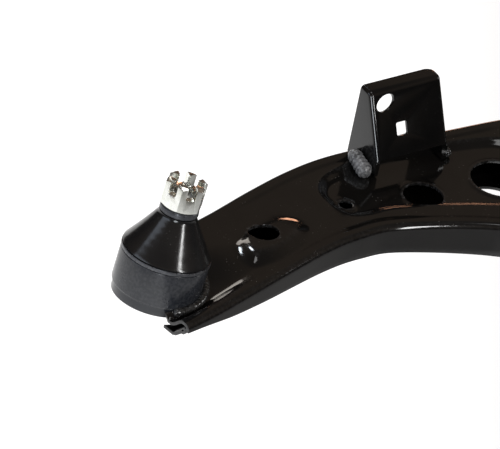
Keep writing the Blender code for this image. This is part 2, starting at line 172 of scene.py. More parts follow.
def settle(piece: Piece, place: Matrix | None = None, angle: float = 35.0) -> Piece:
    """Puts a finished mesh in its place with its object at the origin, and shades it.

    Args:
        piece: The finished object.
        place: Where its mesh goes, with a translation in millimetres.
        angle: Edges sharper than this, in degrees, stay sharp.

    Returns:
        The same object.
    """
    only(piece)
    if place is not None:
        moved = place.copy()
        moved.translation = place.translation * MM
        piece.matrix_world = moved
    bpy.ops.object.transform_apply(location=True, rotation=True, scale=True)
    bpy.ops.object.shade_smooth_by_angle(angle=math.radians(angle))
    return piece


def with_modifier(piece: Piece, kind: str, **settings: object) -> None:
    """Adds a modifier, sets it and applies it.

    Args:
        piece: The object to change.
        kind: Blender's name for the modifier.
        **settings: The modifier's own values.
    """
    only(piece)
    step = piece.modifiers.new(kind.lower(), kind)
    for name, value in settings.items():
        setattr(step, name, value)
    bpy.ops.object.modifier_apply(modifier=step.name)


def rounded(piece: Piece, width: float, segments: int = 3, angle: float = 30.0) -> None:
    """Rounds a piece's sharp edges.

    Args:
        piece: The object to change.
        width: Bevel width in millimetres.
        segments: Faces across each rounded edge.
        angle: Edges sharper than this, in degrees, are rounded.
    """
    with_modifier(
        piece, "BEVEL", width=width * MM, segments=segments, limit_method="ANGLE",
        angle_limit=math.radians(angle), miter_outer="MITER_ARC", use_clamp_overlap=True,
    )


def combined(target: Piece, tool: Piece, operation: str = "DIFFERENCE") -> None:
    """Cuts, joins or intersects a piece with a tool, and throws the tool away.

    Args:
        target: The piece that is kept.
        tool: The other operand.
        operation: DIFFERENCE, UNION or INTERSECT.
    """
    with_modifier(target, "BOOLEAN", operation=operation, object=tool, solver="EXACT")
    bpy.data.objects.remove(tool)


def lathe(
    name: str, profile: Profile, steps: int = 96, place: Matrix | None = None, round_by: float = 0.0,
    closed: bool = True, angle: float = 35.0,
) -> Piece:
    """Spins a profile about Z.

    Args:
        name: Name of the piece.
        profile: (radius, height) points in millimetres.
        steps: Faces round the axis.
        place: Where the finished mesh goes.
        round_by: Bevel width for its sharp edges, in millimetres.
        closed: Whether the last point joins the first; a profile that ends on the axis isn't closed.
        angle: Shading angle in degrees.

    Returns:
        The turned piece.
    """
    bpy.ops.object.select_all(action="DESELECT")
    bpy.ops.mesh.primitive_plane_add(size=MM)
    piece = bpy.context.object
    piece.name = name
    with editing(piece):
        bpy.ops.mesh.select_mode(type="VERT")
        bpy.ops.mesh.select_all(action="SELECT")
        bpy.ops.mesh.merge(type="CENTER")
        first = profile[0]
        bpy.ops.transform.translate(value=(first[0] * MM, 0, first[1] * MM))
        for here, after in zip(profile, profile[1:]):
            step = ((after[0] - here[0]) * MM, 0, (after[1] - here[1]) * MM)
            bpy.ops.mesh.extrude_vertices_move(TRANSFORM_OT_translate={"value": step})
        if closed:
            shape = bmesh.from_edit_mesh(piece.data)
            shape.verts.ensure_lookup_table()
            bpy.ops.mesh.select_all(action="DESELECT")
            shape.verts[0].select_set(True)
            shape.verts[-1].select_set(True)
            bmesh.update_edit_mesh(piece.data)
            bpy.ops.mesh.edge_face_add()
        bpy.ops.mesh.select_all(action="SELECT")
        bpy.ops.mesh.spin(steps=steps, angle=math.tau, center=(0, 0, 0), axis=(0, 0, 1))
        bpy.ops.mesh.select_all(action="SELECT")
        bpy.ops.mesh.remove_doubles(threshold=MERGE)
        bpy.ops.mesh.normals_make_consistent(inside=False)
    if round_by:
        rounded(piece, round_by)
    return settle(piece, place, angle)


def from_arrays(name: str, points: np.ndarray, faces: Sequence[Sequence[int]]) -> Piece:
    """An object from points in millimetres and faces.

    Args:
        name: Name of the piece.
        points: One row of X, Y, Z for each vertex.
        faces: Vertex indices of each face.

    Returns:
        The new object, with doubles merged and normals turned out.
    """
    mesh = bpy.data.meshes.new(name)
    mesh.from_pydata((points * MM).tolist(), [], [list(map(int, face)) for face in faces])
    piece = bpy.data.objects.new(name, mesh)
    bpy.context.scene.collection.objects.link(piece)
    with editing(piece):
        bpy.ops.mesh.select_all(action="SELECT")
        bpy.ops.mesh.remove_doubles(threshold=MERGE)
        bpy.ops.mesh.normals_make_consistent(inside=False)
    return piece


def tube_faces(rings: int, sides: int) -> list[tuple[int, ...]]:
    """Faces of a closed tube whose vertices are listed ring by ring.

    Args:
        rings: Number of rings.
        sides: Vertices in each ring.

    Returns:
        The side quads and the two end faces.
    """
    faces: list[tuple[int, ...]] = []
    for ring in range(rings - 1):
        for side in range(sides):
            after = (side + 1) % sides
            low, high = ring * sides, (ring + 1) * sides
            faces.append((low + side, low + after, high + after, high + side))
    faces.append(tuple(range(sides))[::-1])
    faces.append(tuple(range((rings - 1) * sides, rings * sides)))
    return faces


def weld_bead(
    name: str, route: Sequence[Vector], radius: float, ripple: float = 0.16, pitch: float = 1.7,
    seed: int = 1,
) -> Piece:
    """A weld bead with the overlapping scales that its pool left.

    Args:
        name: Name of the piece.
        route: Points along the bead's middle, in millimetres.
        radius: Radius of the bead in millimetres.
        ripple: Height of the scales as a share of the radius.
        pitch: Length of one scale in millimetres.
        seed: Seed of its small unevenness.

    Returns:
        The bead.
    """
    sides = 16
    rings = 6  # to the length of one scale
    knot_gap = 4  # millimetres from one knot of its unevenness to the next
    draw = random.Random(seed)
    fine = resampled(np.array([tuple(p) for p in route]), pitch / rings)
    tangents = np.gradient(fine, axis=0)
    tangents /= np.linalg.norm(tangents, axis=1)[:, None]
    across = np.cross(tangents, (0.0, 0.0, 1.0))
    across /= np.linalg.norm(across, axis=1)[:, None]
    up = np.cross(across, tangents)
    run = np.arange(len(fine)) * pitch / rings
    knots = np.arange(0, run[-1] + 2 * knot_gap + 1, knot_gap)
    swell = np.interp(run, knots, [draw.uniform(0.93, 1.06) for _ in knots])
    angles = np.linspace(0, math.tau, sides, endpoint=False)
    cover = np.minimum(run, run[-1] - run) / radius
    ends = np.sqrt(np.clip(1 - (1 - np.minimum(cover, 1)) ** 2, 0.02, 1))
    phase = (run[:, None] / pitch + 0.45 * np.cos(angles)[None, :] ** 2) % 1.0
    scale = 1 + ripple * (np.sqrt(np.clip(1 - (2 * phase - 1) ** 2, 0, 1)) - 0.6)
    reach = radius * scale * (swell * ends)[:, None]
    points = (
        fine[:, None, :]
        + across[:, None, :] * (np.cos(angles)[None, :] * reach)[:, :, None]
        + up[:, None, :] * (np.sin(angles)[None, :] * reach)[:, :, None]
    )
    piece = from_arrays(name, points.reshape(-1, 3), tube_faces(len(fine), sides))
    return settle(piece, angle=60)


# Plan curves


def spline(knots: Sequence[tuple[float, ...]], steps: int = 10) -> np.ndarray:
    """Points of a Catmull-Rom curve through the knots.

    Args:
        knots: Points that the curve passes through.
        steps: Points from one knot to the next.

    Returns:
        The curve's points, one to a row.
    """
    given = np.array(knots, float)
    ends = np.vstack([2 * given[0] - given[1], given, 2 * given[-1] - given[-2]])
    return np.vstack([catmull(ends[k : k + 4], steps) for k in range(len(given) - 1)] + [given[-1:]])


def spline_loop(knots: Sequence[tuple[float, ...]], steps: int = 10) -> np.ndarray:
    """Points of a closed Catmull-Rom curve through the knots.

    Args:
        knots: Points that the curve passes through.
        steps: Points from one knot to the next.

    Returns:
        The loop's points, one to a row.
    """
    given = np.array(knots, float)
    count = len(given)
    return np.vstack([catmull(given[[(k + j - 1) % count for j in range(4)]], steps) for k in range(count)])


def catmull(four: np.ndarray, steps: int) -> np.ndarray:
    """Points between the middle two of four knots.

    Args:
        four: Four knots, one to a row.
        steps: Number of points.

    Returns:
        The points, without the third knot.
    """
    a, b, c, d = four
    t = (np.arange(steps) / steps)[:, None]
    return 0.5 * (2 * b + (c - a) * t + (2 * a - 5 * b + 4 * c - d) * t**2 + (3 * b - a - 3 * c + d) * t**3)


def resampled(points: np.ndarray, pitch: float, closed: bool = False) -> np.ndarray:
    """A curve's points set out evenly.

    Args:
        points: The curve's points.
        pitch: Distance wanted between points, in millimetres.
        closed: Whether the last point joins the first.

    Returns:
        Evenly spaced points along the same curve.
    """
    given = np.vstack([points, points[:1]]) if closed else points
    run = np.concatenate([[0], np.cumsum(np.linalg.norm(np.diff(given, axis=0), axis=1))])
    count = max(3, round(run[-1] / pitch))
    wanted = np.linspace(0, run[-1], count + 1)[: count if closed else count + 1]
    return np.stack([np.interp(wanted, run, given[:, k]) for k in range(given.shape[1])], axis=1)


def shifted(points: np.ndarray, distance: float, closed: bool = False) -> np.ndarray:
    """A plan curve moved to its left.

    Args:
        points: The curve's points.
        distance: How far, in millimetres.
        closed: Whether the last point joins the first.

    Returns:
        The moved points, as many as were given.
    """
    if closed:
        tangents = np.roll(points, -1, axis=0) - np.roll(points, 1, axis=0)
    else:
        tangents = np.gradient(points, axis=0)
    tangents /= np.linalg.norm(tangents, axis=1)[:, None]
    return points + distance * np.stack([-tangents[:, 1], tangents[:, 0]], axis=1)


def distance_to(points: np.ndarray, curve: np.ndarray, closed: bool = False) -> np.ndarray:
    """Distance of each point from a plan curve.

    Args:
        points: Points to measure.
        curve: The curve's points.
        closed: Whether the last point joins the first.

    Returns:
        One distance for each point, in millimetres.
    """
    starts = curve if closed else curve[:-1]
    ends = np.roll(curve, -1, axis=0) if closed else curve[1:]
    best = np.full(len(points), np.inf)
    for a, b in zip(starts, ends):
        along = b - a
        share = np.clip(((points - a) @ along) / max(along @ along, 1e-12), 0, 1)
        best = np.minimum(best, np.linalg.norm(points - (a + share[:, None] * along), axis=1))
    return best


def inside(points: np.ndarray, loop: np.ndarray) -> np.ndarray:
    """Which points a closed plan curve surrounds.

    Args:
        points: Points to test.
        loop: The curve's points.

    Returns:
        True for each point inside.
    """
    found = np.zeros(len(points), bool)
    for a, b in zip(loop, np.roll(loop, -1, axis=0)):
        crosses = (a[1] > points[:, 1]) != (b[1] > points[:, 1])
        rise = b[1] - a[1]
        at = a[0] + (b[0] - a[0]) * (points[:, 1] - a[1]) / (rise if abs(rise) > 1e-12 else 1e-12)
        found ^= crosses & (points[:, 0] < at)
    return found


def depth_inside(points: np.ndarray, loop: np.ndarray) -> np.ndarray:
    """Distance from a closed curve, positive inside it.

    Args:
        points: Points to measure.
        loop: The curve's points.

    Returns:
        One signed distance for each point, in millimetres.
    """
    return distance_to(points, loop, True) * np.where(inside(points, loop), 1.0, -1.0)


def ease(value: np.ndarray) -> np.ndarray:
    """A smooth step from 0 to 1.

    Args:
        value: Position along the step, 0 at its start and 1 at its end.

    Returns:
        The eased values.
    """
    t = np.clip(value, 0, 1)
    return t * t * t * (t * (6 * t - 15) + 10)


def ramp(value: np.ndarray, start: float, length: float) -> np.ndarray:
    """A smooth step from 0 to 1 over a stretch of lengths.

    Args:
        value: Lengths in millimetres.
        start: Length at which the step starts.
        length: How long it is.

    Returns:
        The eased values.
    """
    return ease((value - start) / length)


# Finishes


class Desk:
    """Puts nodes into a tree and joins them."""

    def __init__(self, tree: Tree) -> None:
        """Keeps the tree.

        Args:
            tree: The tree to fill.
        """
        self.tree = tree

    def add(self, kind: str, **settings: object) -> bpy.types.Node:
        """Adds a node.

        Args:
            kind: Blender's name for the node.
            **settings: The node's own values.

        Returns:
            The node.
        """
        node = self.tree.nodes.new(kind)
        for name, value in settings.items():
            setattr(node, name, value)
        return node

    def join(self, source: Socket, target: Socket) -> None:
        """Links two sockets."""
        self.tree.links.new(source, target)

    def noise(self, vector: Socket, scale: float, detail: float = 3.0) -> Socket:
        """Adds a noise texture.

        Args:
            vector: Coordinates it reads.
            scale: Features to the metre.
            detail: Octaves.

        Returns:
            Its value.
        """
        node = self.add("ShaderNodeTexNoise")
        node.inputs["Scale"].default_value = scale
        node.inputs["Detail"].default_value = detail
        self.join(vector, node.inputs["Vector"])
        return node.outputs["Fac"]

    def cells(self, vector: Socket, scale: float) -> Socket:
        """Adds a pattern of scattered points.

        Args:
            vector: Coordinates it reads.
            scale: Points to the metre.

        Returns:
            Distance from the nearest point.
        """
        node = self.add("ShaderNodeTexVoronoi")
        node.inputs["Scale"].default_value = scale
        self.join(vector, node.inputs["Vector"])
        return node.outputs["Distance"]

    def math(self, operation: str, first: object, second: object = 0.0) -> Socket:
        """Adds a math node.

        Args:
            operation: What it does.
            first: A socket or a number.
            second: A socket or a number.

        Returns:
            Its value.
        """
        node = self.add("ShaderNodeMath", operation=operation)
        for socket, given in zip(node.inputs, (first, second)):
            if isinstance(given, Socket):
                self.join(given, socket)
            else:
                socket.default_value = given
        return node.outputs[0]

    def span(self, value: Socket, low: float, high: float, start: float, end: float) -> Socket:
        """Maps a range of values on to another.

        Args:
            value: The value to map.
            low: Value that gives start.
            high: Value that gives end.
            start: Result at low.
            end: Result at high.

        Returns:
            The mapped value.
        """
        node = self.add("ShaderNodeMapRange")
        for name, number in (("From Min", low), ("From Max", high), ("To Min", start), ("To Max", end)):
            node.inputs[name].default_value = number
        self.join(value, node.inputs["Value"])
        return node.outputs["Result"]

    def mix(self, share: Socket, first: object, second: object) -> Socket:
        """Mixes two colours.

        Args:
            share: How much of the second colour shows.
            first: A socket or a colour.
            second: A socket or a colour.

        Returns:
            The mixed colour.
        """
        node = self.add("ShaderNodeMix", data_type="RGBA")
        self.join(share, node.inputs[0])
        for socket, given in ((node.inputs[6], first), (node.inputs[7], second)):
            if isinstance(given, Socket):
                self.join(given, socket)
            else:
                socket.default_value = (*given, 1.0)
        return node.outputs[2]


Fill = Callable[[Desk, bpy.types.NodeOutputs], Socket]


class Effects:
    """Node groups that several finishes share, each made once."""

    @staticmethod
    def group(name: str, output: str, fill: Fill, **numbers: float) -> Tree:
        """Makes a group that reads coordinates and some numbers, or finds it.

        Args:
            name: Name of the group.
            output: Name of its one output, a value.
            fill: Lays the group's nodes and gives back the socket that feeds the output.
            **numbers: Name and default of each number that it reads.

        Returns:
            The group.
        """
        if name in bpy.data.node_groups:
            return bpy.data.node_groups[name]
        tree = bpy.data.node_groups.new(name, "ShaderNodeTree")
        tree.interface.new_socket(name="Vector", in_out="INPUT", socket_type="NodeSocketVector")
        for label, value in numbers.items():
            socket = tree.interface.new_socket(name=label, in_out="INPUT", socket_type="NodeSocketFloat")
            socket.default_value = value
        tree.interface.new_socket(name=output, in_out="OUTPUT", socket_type="NodeSocketFloat")
        desk = Desk(tree)
        given, result = desk.add("NodeGroupInput"), desk.add("NodeGroupOutput")
        desk.join(fill(desk, given.outputs), result.inputs[0])
        return tree

    @classmethod
    def edge_rub_and_highlight(cls) -> Tree:
        """Mask of rubbed outer edges, broken up by noise; the same mask lightens convex edges as a painted
        highlight.

        Returns:
            The group, with Vector, Scale and Amount in and Mask out.
        """

        def fill(desk: Desk, given: bpy.types.NodeOutputs) -> Socket:
            """Lays the nodes of the rubbed edges and their painted highlight.

            Args:
                desk: Desk of the group's tree.
                given: What the group reads.

            Returns:
                The socket that feeds the output.
            """
            pointiness = desk.add("ShaderNodeNewGeometry").outputs["Pointiness"]
            sharp = desk.span(pointiness, 0.505, 0.56, 0.0, 1.0)
            noise = desk.add("ShaderNodeTexNoise")
            noise.inputs["Detail"].default_value = 6
            desk.join(given["Vector"], noise.inputs["Vector"])
            desk.join(given["Scale"], noise.inputs["Scale"])
            broken = desk.span(noise.outputs["Fac"], 0.42, 0.62, 0.15, 1.0)
            return desk.math("MULTIPLY", desk.math("MULTIPLY", sharp, broken), given["Amount"])

        return cls.group("edge wear", "Mask", fill, Scale=600, Amount=0.5)

    @classmethod
    def peel(cls) -> Tree:
        """Height of sprayed paint's slow ripple and fine grain.

        Returns:
            The group, with Vector, Scale and Grain in and Height out.
        """

        def fill(desk: Desk, given: bpy.types.NodeOutputs) -> Socket:
            """Lays the paint's nodes.

            Args:
                desk: Desk of the group's tree.
                given: What the group reads.

            Returns:
                The socket that feeds the output.
            """
            slow, fine = desk.add("ShaderNodeTexNoise"), desk.add("ShaderNodeTexNoise")
            for node, detail in ((slow, 1.0), (fine, 4.0)):
                node.inputs["Detail"].default_value = detail
                desk.join(given["Vector"], node.inputs["Vector"])
            desk.join(given["Scale"], slow.inputs["Scale"])
            desk.join(desk.math("MULTIPLY", given["Scale"], 7.0), fine.inputs["Scale"])
            grain = desk.math("MULTIPLY", fine.outputs["Fac"], given["Grain"])
            return desk.math("ADD", slow.outputs["Fac"], grain)

        return cls.group("orange peel", "Height", fill, Scale=250, Grain=0.2)

    @classmethod
    def dust(cls) -> Tree:
        """Mask of the specks that lie on upward faces.

        Returns:
            The group, with Vector and Amount in and Mask out.
        """

        def fill(desk: Desk, given: bpy.types.NodeOutputs) -> Socket:
            """Lays the specks' nodes.

            Args:
                desk: Desk of the group's tree.
                given: What the group reads.

            Returns:
                The socket that feeds the output.
            """
            split = desk.add("ShaderNodeSeparateXYZ")
            desk.join(desk.add("ShaderNodeNewGeometry").outputs["Normal"], split.inputs[0])
            upward = desk.span(split.outputs["Z"], 0.2, 1.0, 0.15, 1.0)
            speck = desk.span(desk.cells(given["Vector"], 420), 0.06, 0.13, 1.0, 0.0)
            patch = desk.span(desk.noise(given["Vector"], 60, 2), 0.5, 0.7, 0.0, 1.0)
            shown = desk.math("MULTIPLY", desk.math("MULTIPLY", speck, patch), upward)
            return desk.math("MULTIPLY", shown, given["Amount"])

        return cls.group("dust", "Mask", fill, Amount=0.3)

    @classmethod
    def spatter(cls) -> Tree:
        """Height of the small beads that welding throws near a joint's axis.

        Returns:
            The group, with Vector, Low and High in and Height out; Low and High are heights in metres.
        """

        def fill(desk: Desk, given: bpy.types.NodeOutputs) -> Socket:
            """Lays the spatter's nodes.

            Args:
                desk: Desk of the group's tree.
                given: What the group reads.

            Returns:
                The socket that feeds the output.
            """
            bead = desk.span(desk.cells(given["Vector"], 520), 0.0, 0.32, 1.0, 0.0)
            patch = desk.span(desk.noise(given["Vector"], 90, 2), 0.52, 0.66, 0.0, 1.0)
            split = desk.add("ShaderNodeSeparateXYZ")
            desk.join(given["Vector"], split.inputs[0])
            above = desk.math("GREATER_THAN", split.outputs["Z"], given["Low"])
            below = desk.math("LESS_THAN", split.outputs["Z"], given["High"])
            near = desk.math("MULTIPLY", above, below)
            return desk.math("MULTIPLY", desk.math("MULTIPLY", bead, patch), near)

        return cls.group("weld spatter", "Height", fill, Low=-0.02, High=0.004)

    @classmethod
    def turning(cls) -> Tree:
        """Height of the fine rings that a lathe tool or a mould leaves round an axis.

        Returns:
            The group, with Vector and Pitch in and Height out; Pitch is in metres.
        """

        def fill(desk: Desk, given: bpy.types.NodeOutputs) -> Socket:
            """Lays the rings' nodes.

            Args:
                desk: Desk of the group's tree.
                given: What the group reads.

            Returns:
                The socket that feeds the output.
            """
            split = desk.add("ShaderNodeSeparateXYZ")
            desk.join(given["Vector"], split.inputs[0])
            squares = [desk.math("POWER", split.outputs[axis], 2.0) for axis in ("X", "Y")]
            radius = desk.math("SQRT", desk.math("ADD", *squares))
            along = desk.math("ADD", radius, split.outputs["Z"])
            turns = desk.math("DIVIDE", desk.math("MULTIPLY", along, math.tau), given["Pitch"])
            wobble = desk.math("MULTIPLY", desk.noise(given["Vector"], 900, 2), 3.0)
            return desk.math("SINE", desk.math("ADD", turns, wobble))

        return cls.group("turning marks", "Height", fill, Pitch=0.0004)


@dataclass(frozen=True)
class Finish:
    """A surface finish, and how its material is made."""

    name: str
    slot: str
    colour: Colour
    second: Colour
    roughness: tuple[float, float]
    metallic: float = 0.0
    ior: float = 1.5
    patch_scale: float = 60.0
    peel_scale: float = 220.0
    peel_grain: float = 0.15
    peel_height: float = 0.00002
    # Strength and colour of the lighter convex edges: partly rubbed finish, partly a painted highlight
    rub_and_highlight: float = 0.0
    rub_and_highlight_colour: Colour = (0.3, 0.3, 0.31)
    dust: float = 0.0
    spatter: float = 0.0
    spatter_range: tuple[float, float] = (-0.02, 0.004)
    turning_pitch: float = 0.0
    turning_height: float = 0.000004
    axis: Matrix | None = field(default=None, compare=False)

    def placed(self, tree: Tree, group: Tree, vector: Socket) -> bpy.types.Node:
        """Places a shared effect in the material.

        Args:
            tree: The material's tree.
            group: The effect.
            vector: Coordinates that it reads.

        Returns:
            The group node.
        """
        node = tree.nodes.new("ShaderNodeGroup")
        node.node_tree = group
        tree.links.new(vector, node.inputs["Vector"])
        return node

    def material(self) -> bpy.types.Material:
        """Makes the material, or finds it.

        Returns:
            The material.
        """
        if self.name in bpy.data.materials:
            return bpy.data.materials[self.name]
        made = bpy.data.materials.new(self.name)
        made.use_nodes = True
        tree = made.node_tree
        desk = Desk(tree)
        shader = tree.nodes["Principled BSDF"]
        shader.inputs["Metallic"].default_value = self.metallic
        shader.inputs["IOR"].default_value = self.ior
        vector = desk.add("ShaderNodeTexCoord").outputs["Object"]
        if self.axis is not None:
            mapping = desk.add("ShaderNodeMapping", vector_type="TEXTURE")
            mapping.inputs["Location"].default_value = self.axis.translation * MM
            mapping.inputs["Rotation"].default_value = self.axis.to_euler()
            desk.join(vector, mapping.inputs["Vector"])
            vector = mapping.outputs["Vector"]
        patches = desk.noise(vector, self.patch_scale, 4)
        colour = desk.mix(desk.span(patches, 0.35, 0.65, 0.0, 1.0), self.colour, self.second)
        rough = desk.span(desk.noise(vector, self.patch_scale * 3, 5), 0.3, 0.7, *self.roughness)
        # Convex edges mixed towards a lighter colour: partly rubbed finish, partly a painted highlight
        if self.rub_and_highlight:
            rub_and_highlight = self.placed(tree, Effects.edge_rub_and_highlight(), vector)
            rub_and_highlight.inputs["Amount"].default_value = self.rub_and_highlight
            colour = desk.mix(rub_and_highlight.outputs["Mask"], colour, self.rub_and_highlight_colour)
            rough = desk.math("ADD", rough, desk.math("MULTIPLY", rub_and_highlight.outputs["Mask"], 0.18))
        if self.dust:
            dust = self.placed(tree, Effects.dust(), vector)
            dust.inputs["Amount"].default_value = self.dust
            colour = desk.mix(dust.outputs["Mask"], colour, (0.42, 0.4, 0.37))
            rough = desk.math("ADD", rough, desk.math("MULTIPLY", dust.outputs["Mask"], 0.5))
        desk.join(colour, shader.inputs["Base Color"])
        desk.join(rough, shader.inputs["Roughness"])
        desk.join(self.relief(desk, vector), shader.inputs["Normal"])
        made.diffuse_color = (*self.colour, 1.0)
        return made

    def relief(self, desk: Desk, vector: Socket) -> Socket:
        """The chain of bumps that gives the surface its relief.

        Args:
            desk: Desk of the material's tree.
            vector: Coordinates that the effects read.

        Returns:
            The normal.
        """
        peel = self.placed(desk.tree, Effects.peel(), vector)
        peel.inputs["Scale"].default_value = self.peel_scale
        peel.inputs["Grain"].default_value = self.peel_grain
        chain = [(peel.outputs["Height"], self.peel_height)]
        if self.spatter:
            spatter = self.placed(desk.tree, Effects.spatter(), vector)
            spatter.inputs["Low"].default_value, spatter.inputs["High"].default_value = self.spatter_range
            chain.append((spatter.outputs["Height"], self.spatter))
        if self.turning_pitch:
            turning = self.placed(desk.tree, Effects.turning(), vector)
            turning.inputs["Pitch"].default_value = self.turning_pitch
            chain.append((turning.outputs["Height"], self.turning_height))
        normal = None
        for height, distance in chain:
            bump = desk.add("ShaderNodeBump")
            bump.inputs["Strength"].default_value = 1.0
            bump.inputs["Distance"].default_value = distance
            desk.join(height, bump.inputs["Height"])
            if normal is not None:
                desk.join(normal, bump.inputs["Normal"])
            normal = bump.outputs["Normal"]
        return normal


def dressed(
    piece: Piece, finish: Finish, body: str | None, *nodes: str, smooth: float | None = None
) -> Piece:
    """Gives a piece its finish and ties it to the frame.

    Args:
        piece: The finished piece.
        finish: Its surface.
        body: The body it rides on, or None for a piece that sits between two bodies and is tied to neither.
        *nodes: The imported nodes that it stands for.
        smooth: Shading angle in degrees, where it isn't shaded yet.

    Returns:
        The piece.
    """
    if smooth is not None:
        settle(piece, angle=smooth)
    piece.data.materials.clear()
    piece.data.materials.append(finish.material())
    if body:
        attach(piece, body)
    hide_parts(*nodes)
    LOG.info("%s: %d faces on %s", piece.name, len(piece.data.polygons), body)
    return piece


# The ball joint's tilted axis, which several pieces share
TILT_INBOARD = math.radians(9.1)
TILT_FRONT = math.radians(2.0)
BALL_AXIS = Vector((math.tan(TILT_INBOARD), math.tan(TILT_FRONT), 1.0)).normalized()
BALL_PLACE = Vector((0, 0, 1)).rotation_difference(BALL_AXIS).to_matrix().to_4x4()

ARM_PAINT = Finish(
    "arm paint", "arm_paint", (0.0045, 0.0042, 0.004), (0.006, 0.0055, 0.005), (0.07, 0.12), rub_and_highlight=0.25,
    rub_and_highlight_colour=(0.16, 0.16, 0.165), dust=0.35, peel_height=0.000012,
)
# The arm's gloss black made a little darker for the bracket: painted shade
BRACKET_PAINT_SHADED = Finish(
    "bracket paint shaded", "arm_paint", (0.003, 0.003, 0.003), (0.004, 0.004, 0.004), (0.1, 0.16),
    dust=0.25, peel_height=0.000004, peel_scale=200,
)
WELD_PAINT = Finish(
    "weld paint", "weld_paint", (0.006, 0.006, 0.006), (0.012, 0.011, 0.01), (0.1, 0.22), rub_and_highlight=0.35,
    rub_and_highlight_colour=(0.2, 0.2, 0.2), peel_scale=420, peel_height=0.0001, peel_grain=0.3,
)
# Black weld paint coloured light grey, with lighter edges: a painted reflection on the left bracket weld
BRACKET_WELD_PAINTED_SHEEN = Finish(
    "bracket weld painted sheen", "weld_paint", (0.05, 0.05, 0.052), (0.16, 0.16, 0.165), (0.15, 0.3), rub_and_highlight=0.6,
    rub_and_highlight_colour=(0.5, 0.5, 0.5), peel_scale=500, peel_height=0.00012, peel_grain=0.5, patch_scale=160,
)
HOUSING_PAINT = Finish(
    "housing paint", "housing_paint", (0.013, 0.015, 0.019), (0.017, 0.019, 0.024), (0.17, 0.24), rub_and_highlight=0.2,
    rub_and_highlight_colour=(0.25, 0.25, 0.26), peel_scale=200, peel_height=0.00001, spatter=0.0003, turning_pitch=0.0011,
    turning_height=0.000003, axis=BALL_PLACE,
)
CLIP_PAINT = Finish(
    "clip paint", "clip_paint", (0.05, 0.053, 0.06), (0.07, 0.073, 0.08), (0.22, 0.34), metallic=0.6,
    rub_and_highlight=0.3,
)
BOOT_RUBBER = Finish(
    "boot rubber", "boot_rubber", (0.008, 0.008, 0.0085), (0.011, 0.011, 0.011), (0.13, 0.2), dust=0.3,
    peel_scale=160, peel_height=0.00003, turning_pitch=0.0014, turning_height=0.000006, axis=BALL_PLACE,
)
ZINC = Finish(
    "zinc plate", "zinc_steel", (0.86, 0.87, 0.83), (0.72, 0.73, 0.66), (0.12, 0.26), metallic=1.0, rub_and_highlight=0.15,
    rub_and_highlight_colour=(0.95, 0.95, 0.93), patch_scale=180, peel_scale=900, peel_height=0.00001,
)
MACHINED = Finish(
    "machined steel", "machined_steel", (0.46, 0.46, 0.47), (0.36, 0.36, 0.37), (0.25, 0.42), metallic=1.0,
    rub_and_highlight=0.2, rub_and_highlight_colour=(0.7, 0.7, 0.7), patch_scale=120, peel_scale=900, peel_height=0.000008,
    turning_pitch=0.0005, turning_height=0.000006, axis=BALL_PLACE,
)
BUSH_STEEL = Finish(
    "bush steel", "machined_steel", (0.4, 0.4, 0.41), (0.3, 0.3, 0.3), (0.3, 0.46), metallic=1.0, rub_and_highlight=0.2,
    rub_and_highlight_colour=(0.65, 0.65, 0.65), patch_scale=140, peel_scale=900, peel_height=0.00001,
)
BUSH_RUBBER = Finish(
    "bush rubber", "bush_rubber", (0.016, 0.016, 0.016), (0.024, 0.023, 0.022), (0.5, 0.68), dust=0.25,
    peel_scale=1500, peel_height=0.00004, peel_grain=0.6,
)
SEAT_PLASTIC = Finish(
    "seat plastic", "seat_plastic", (0.74, 0.73, 0.67), (0.68, 0.66, 0.6), (0.32, 0.45), peel_scale=600,
    peel_height=0.00001,
)


# Pressed shells


@dataclass
class ArmPlan:
    """The plan of both shells: knots of the three free edges and of what is pressed into the flat."""

    rear: Profile = (
        (-60, -45), (-14, -43.5), (44, -37), (102, -28), (133, -27), (159, -32), (207, -57), (241, -88),
        (262, -122), (274, -160), (283, -192), (298, -212), (325, -213),
    )
    inboard: Profile = (
        (325, -166), (302, -165), (288, -138), (282, -100), (288, -62), (302, -33), (325, -32),
    )
    front: Profile = (
        (325, 16), (302, 16), (277, 23), (246, 29), (205, 37), (164, 43), (134, 43), (101, 39), (58, 32),
        (16, 29), (-60, 29),
    )
    pocket: Profile = (
        (134, 8), (137, -7), (148, -13), (163, -15), (179, -21), (205, -33), (228, -45), (247, -48),
        (262, -36), (272, -14), (269, 6), (246, 17), (205, 27), (178, 31), (150, 29), (137, 20),
    )
    pad: Profile = (
        (51, -14), (53, -20), (58, -23), (67, -24.5), (78, -24), (90, -21.5), (103, -17), (113, -8),
        (116, 3), (113, 15), (105, 22), (95, 25), (84, 23), (68, 16), (57, 5), (52, -6),
    )
    holes: Sequence[Hole] = ((79, 0.5, 9.0), (145, 3, 4.0), (192, -11, 11.75), (243, -20, 17.0))
    skirt_at_ball: float = 9.0
    skirt_slope: float = 0.052
    near_end: float = -14.0
    far_end: float = 1.0
    overrun: float = 6.0  # how far the shells are first made past their cut ends

    def edges(self, pitch: float, moved: float = 0.0) -> list[np.ndarray]:
        """The three free edges, anticlockwise, running a little past the cut ends.

        Args:
            pitch: Distance between points in millimetres.
            moved: How far the edges are moved inwards.

        Returns:
            The rear, inboard and front edge.
        """
        rear = spline(self.rear)
        rear = rear[rear[:, 0] > self.near_end - self.overrun]
        front = spline(self.front)
        front = front[front[:, 0] > self.far_end - self.overrun]
        runs = [resampled(run, pitch) for run in (rear, spline(self.inboard), front)]
        return [shifted(run, moved) for run in runs] if moved else runs

    def skirt(self, x: np.ndarray) -> np.ndarray:
        """Height of the upper skirt's lower edge.

        Args:
            x: Distances inboard.

        Returns:
            Heights in millimetres.
        """
        return -self.skirt_at_ball - self.skirt_slope * (x - self.near_end)


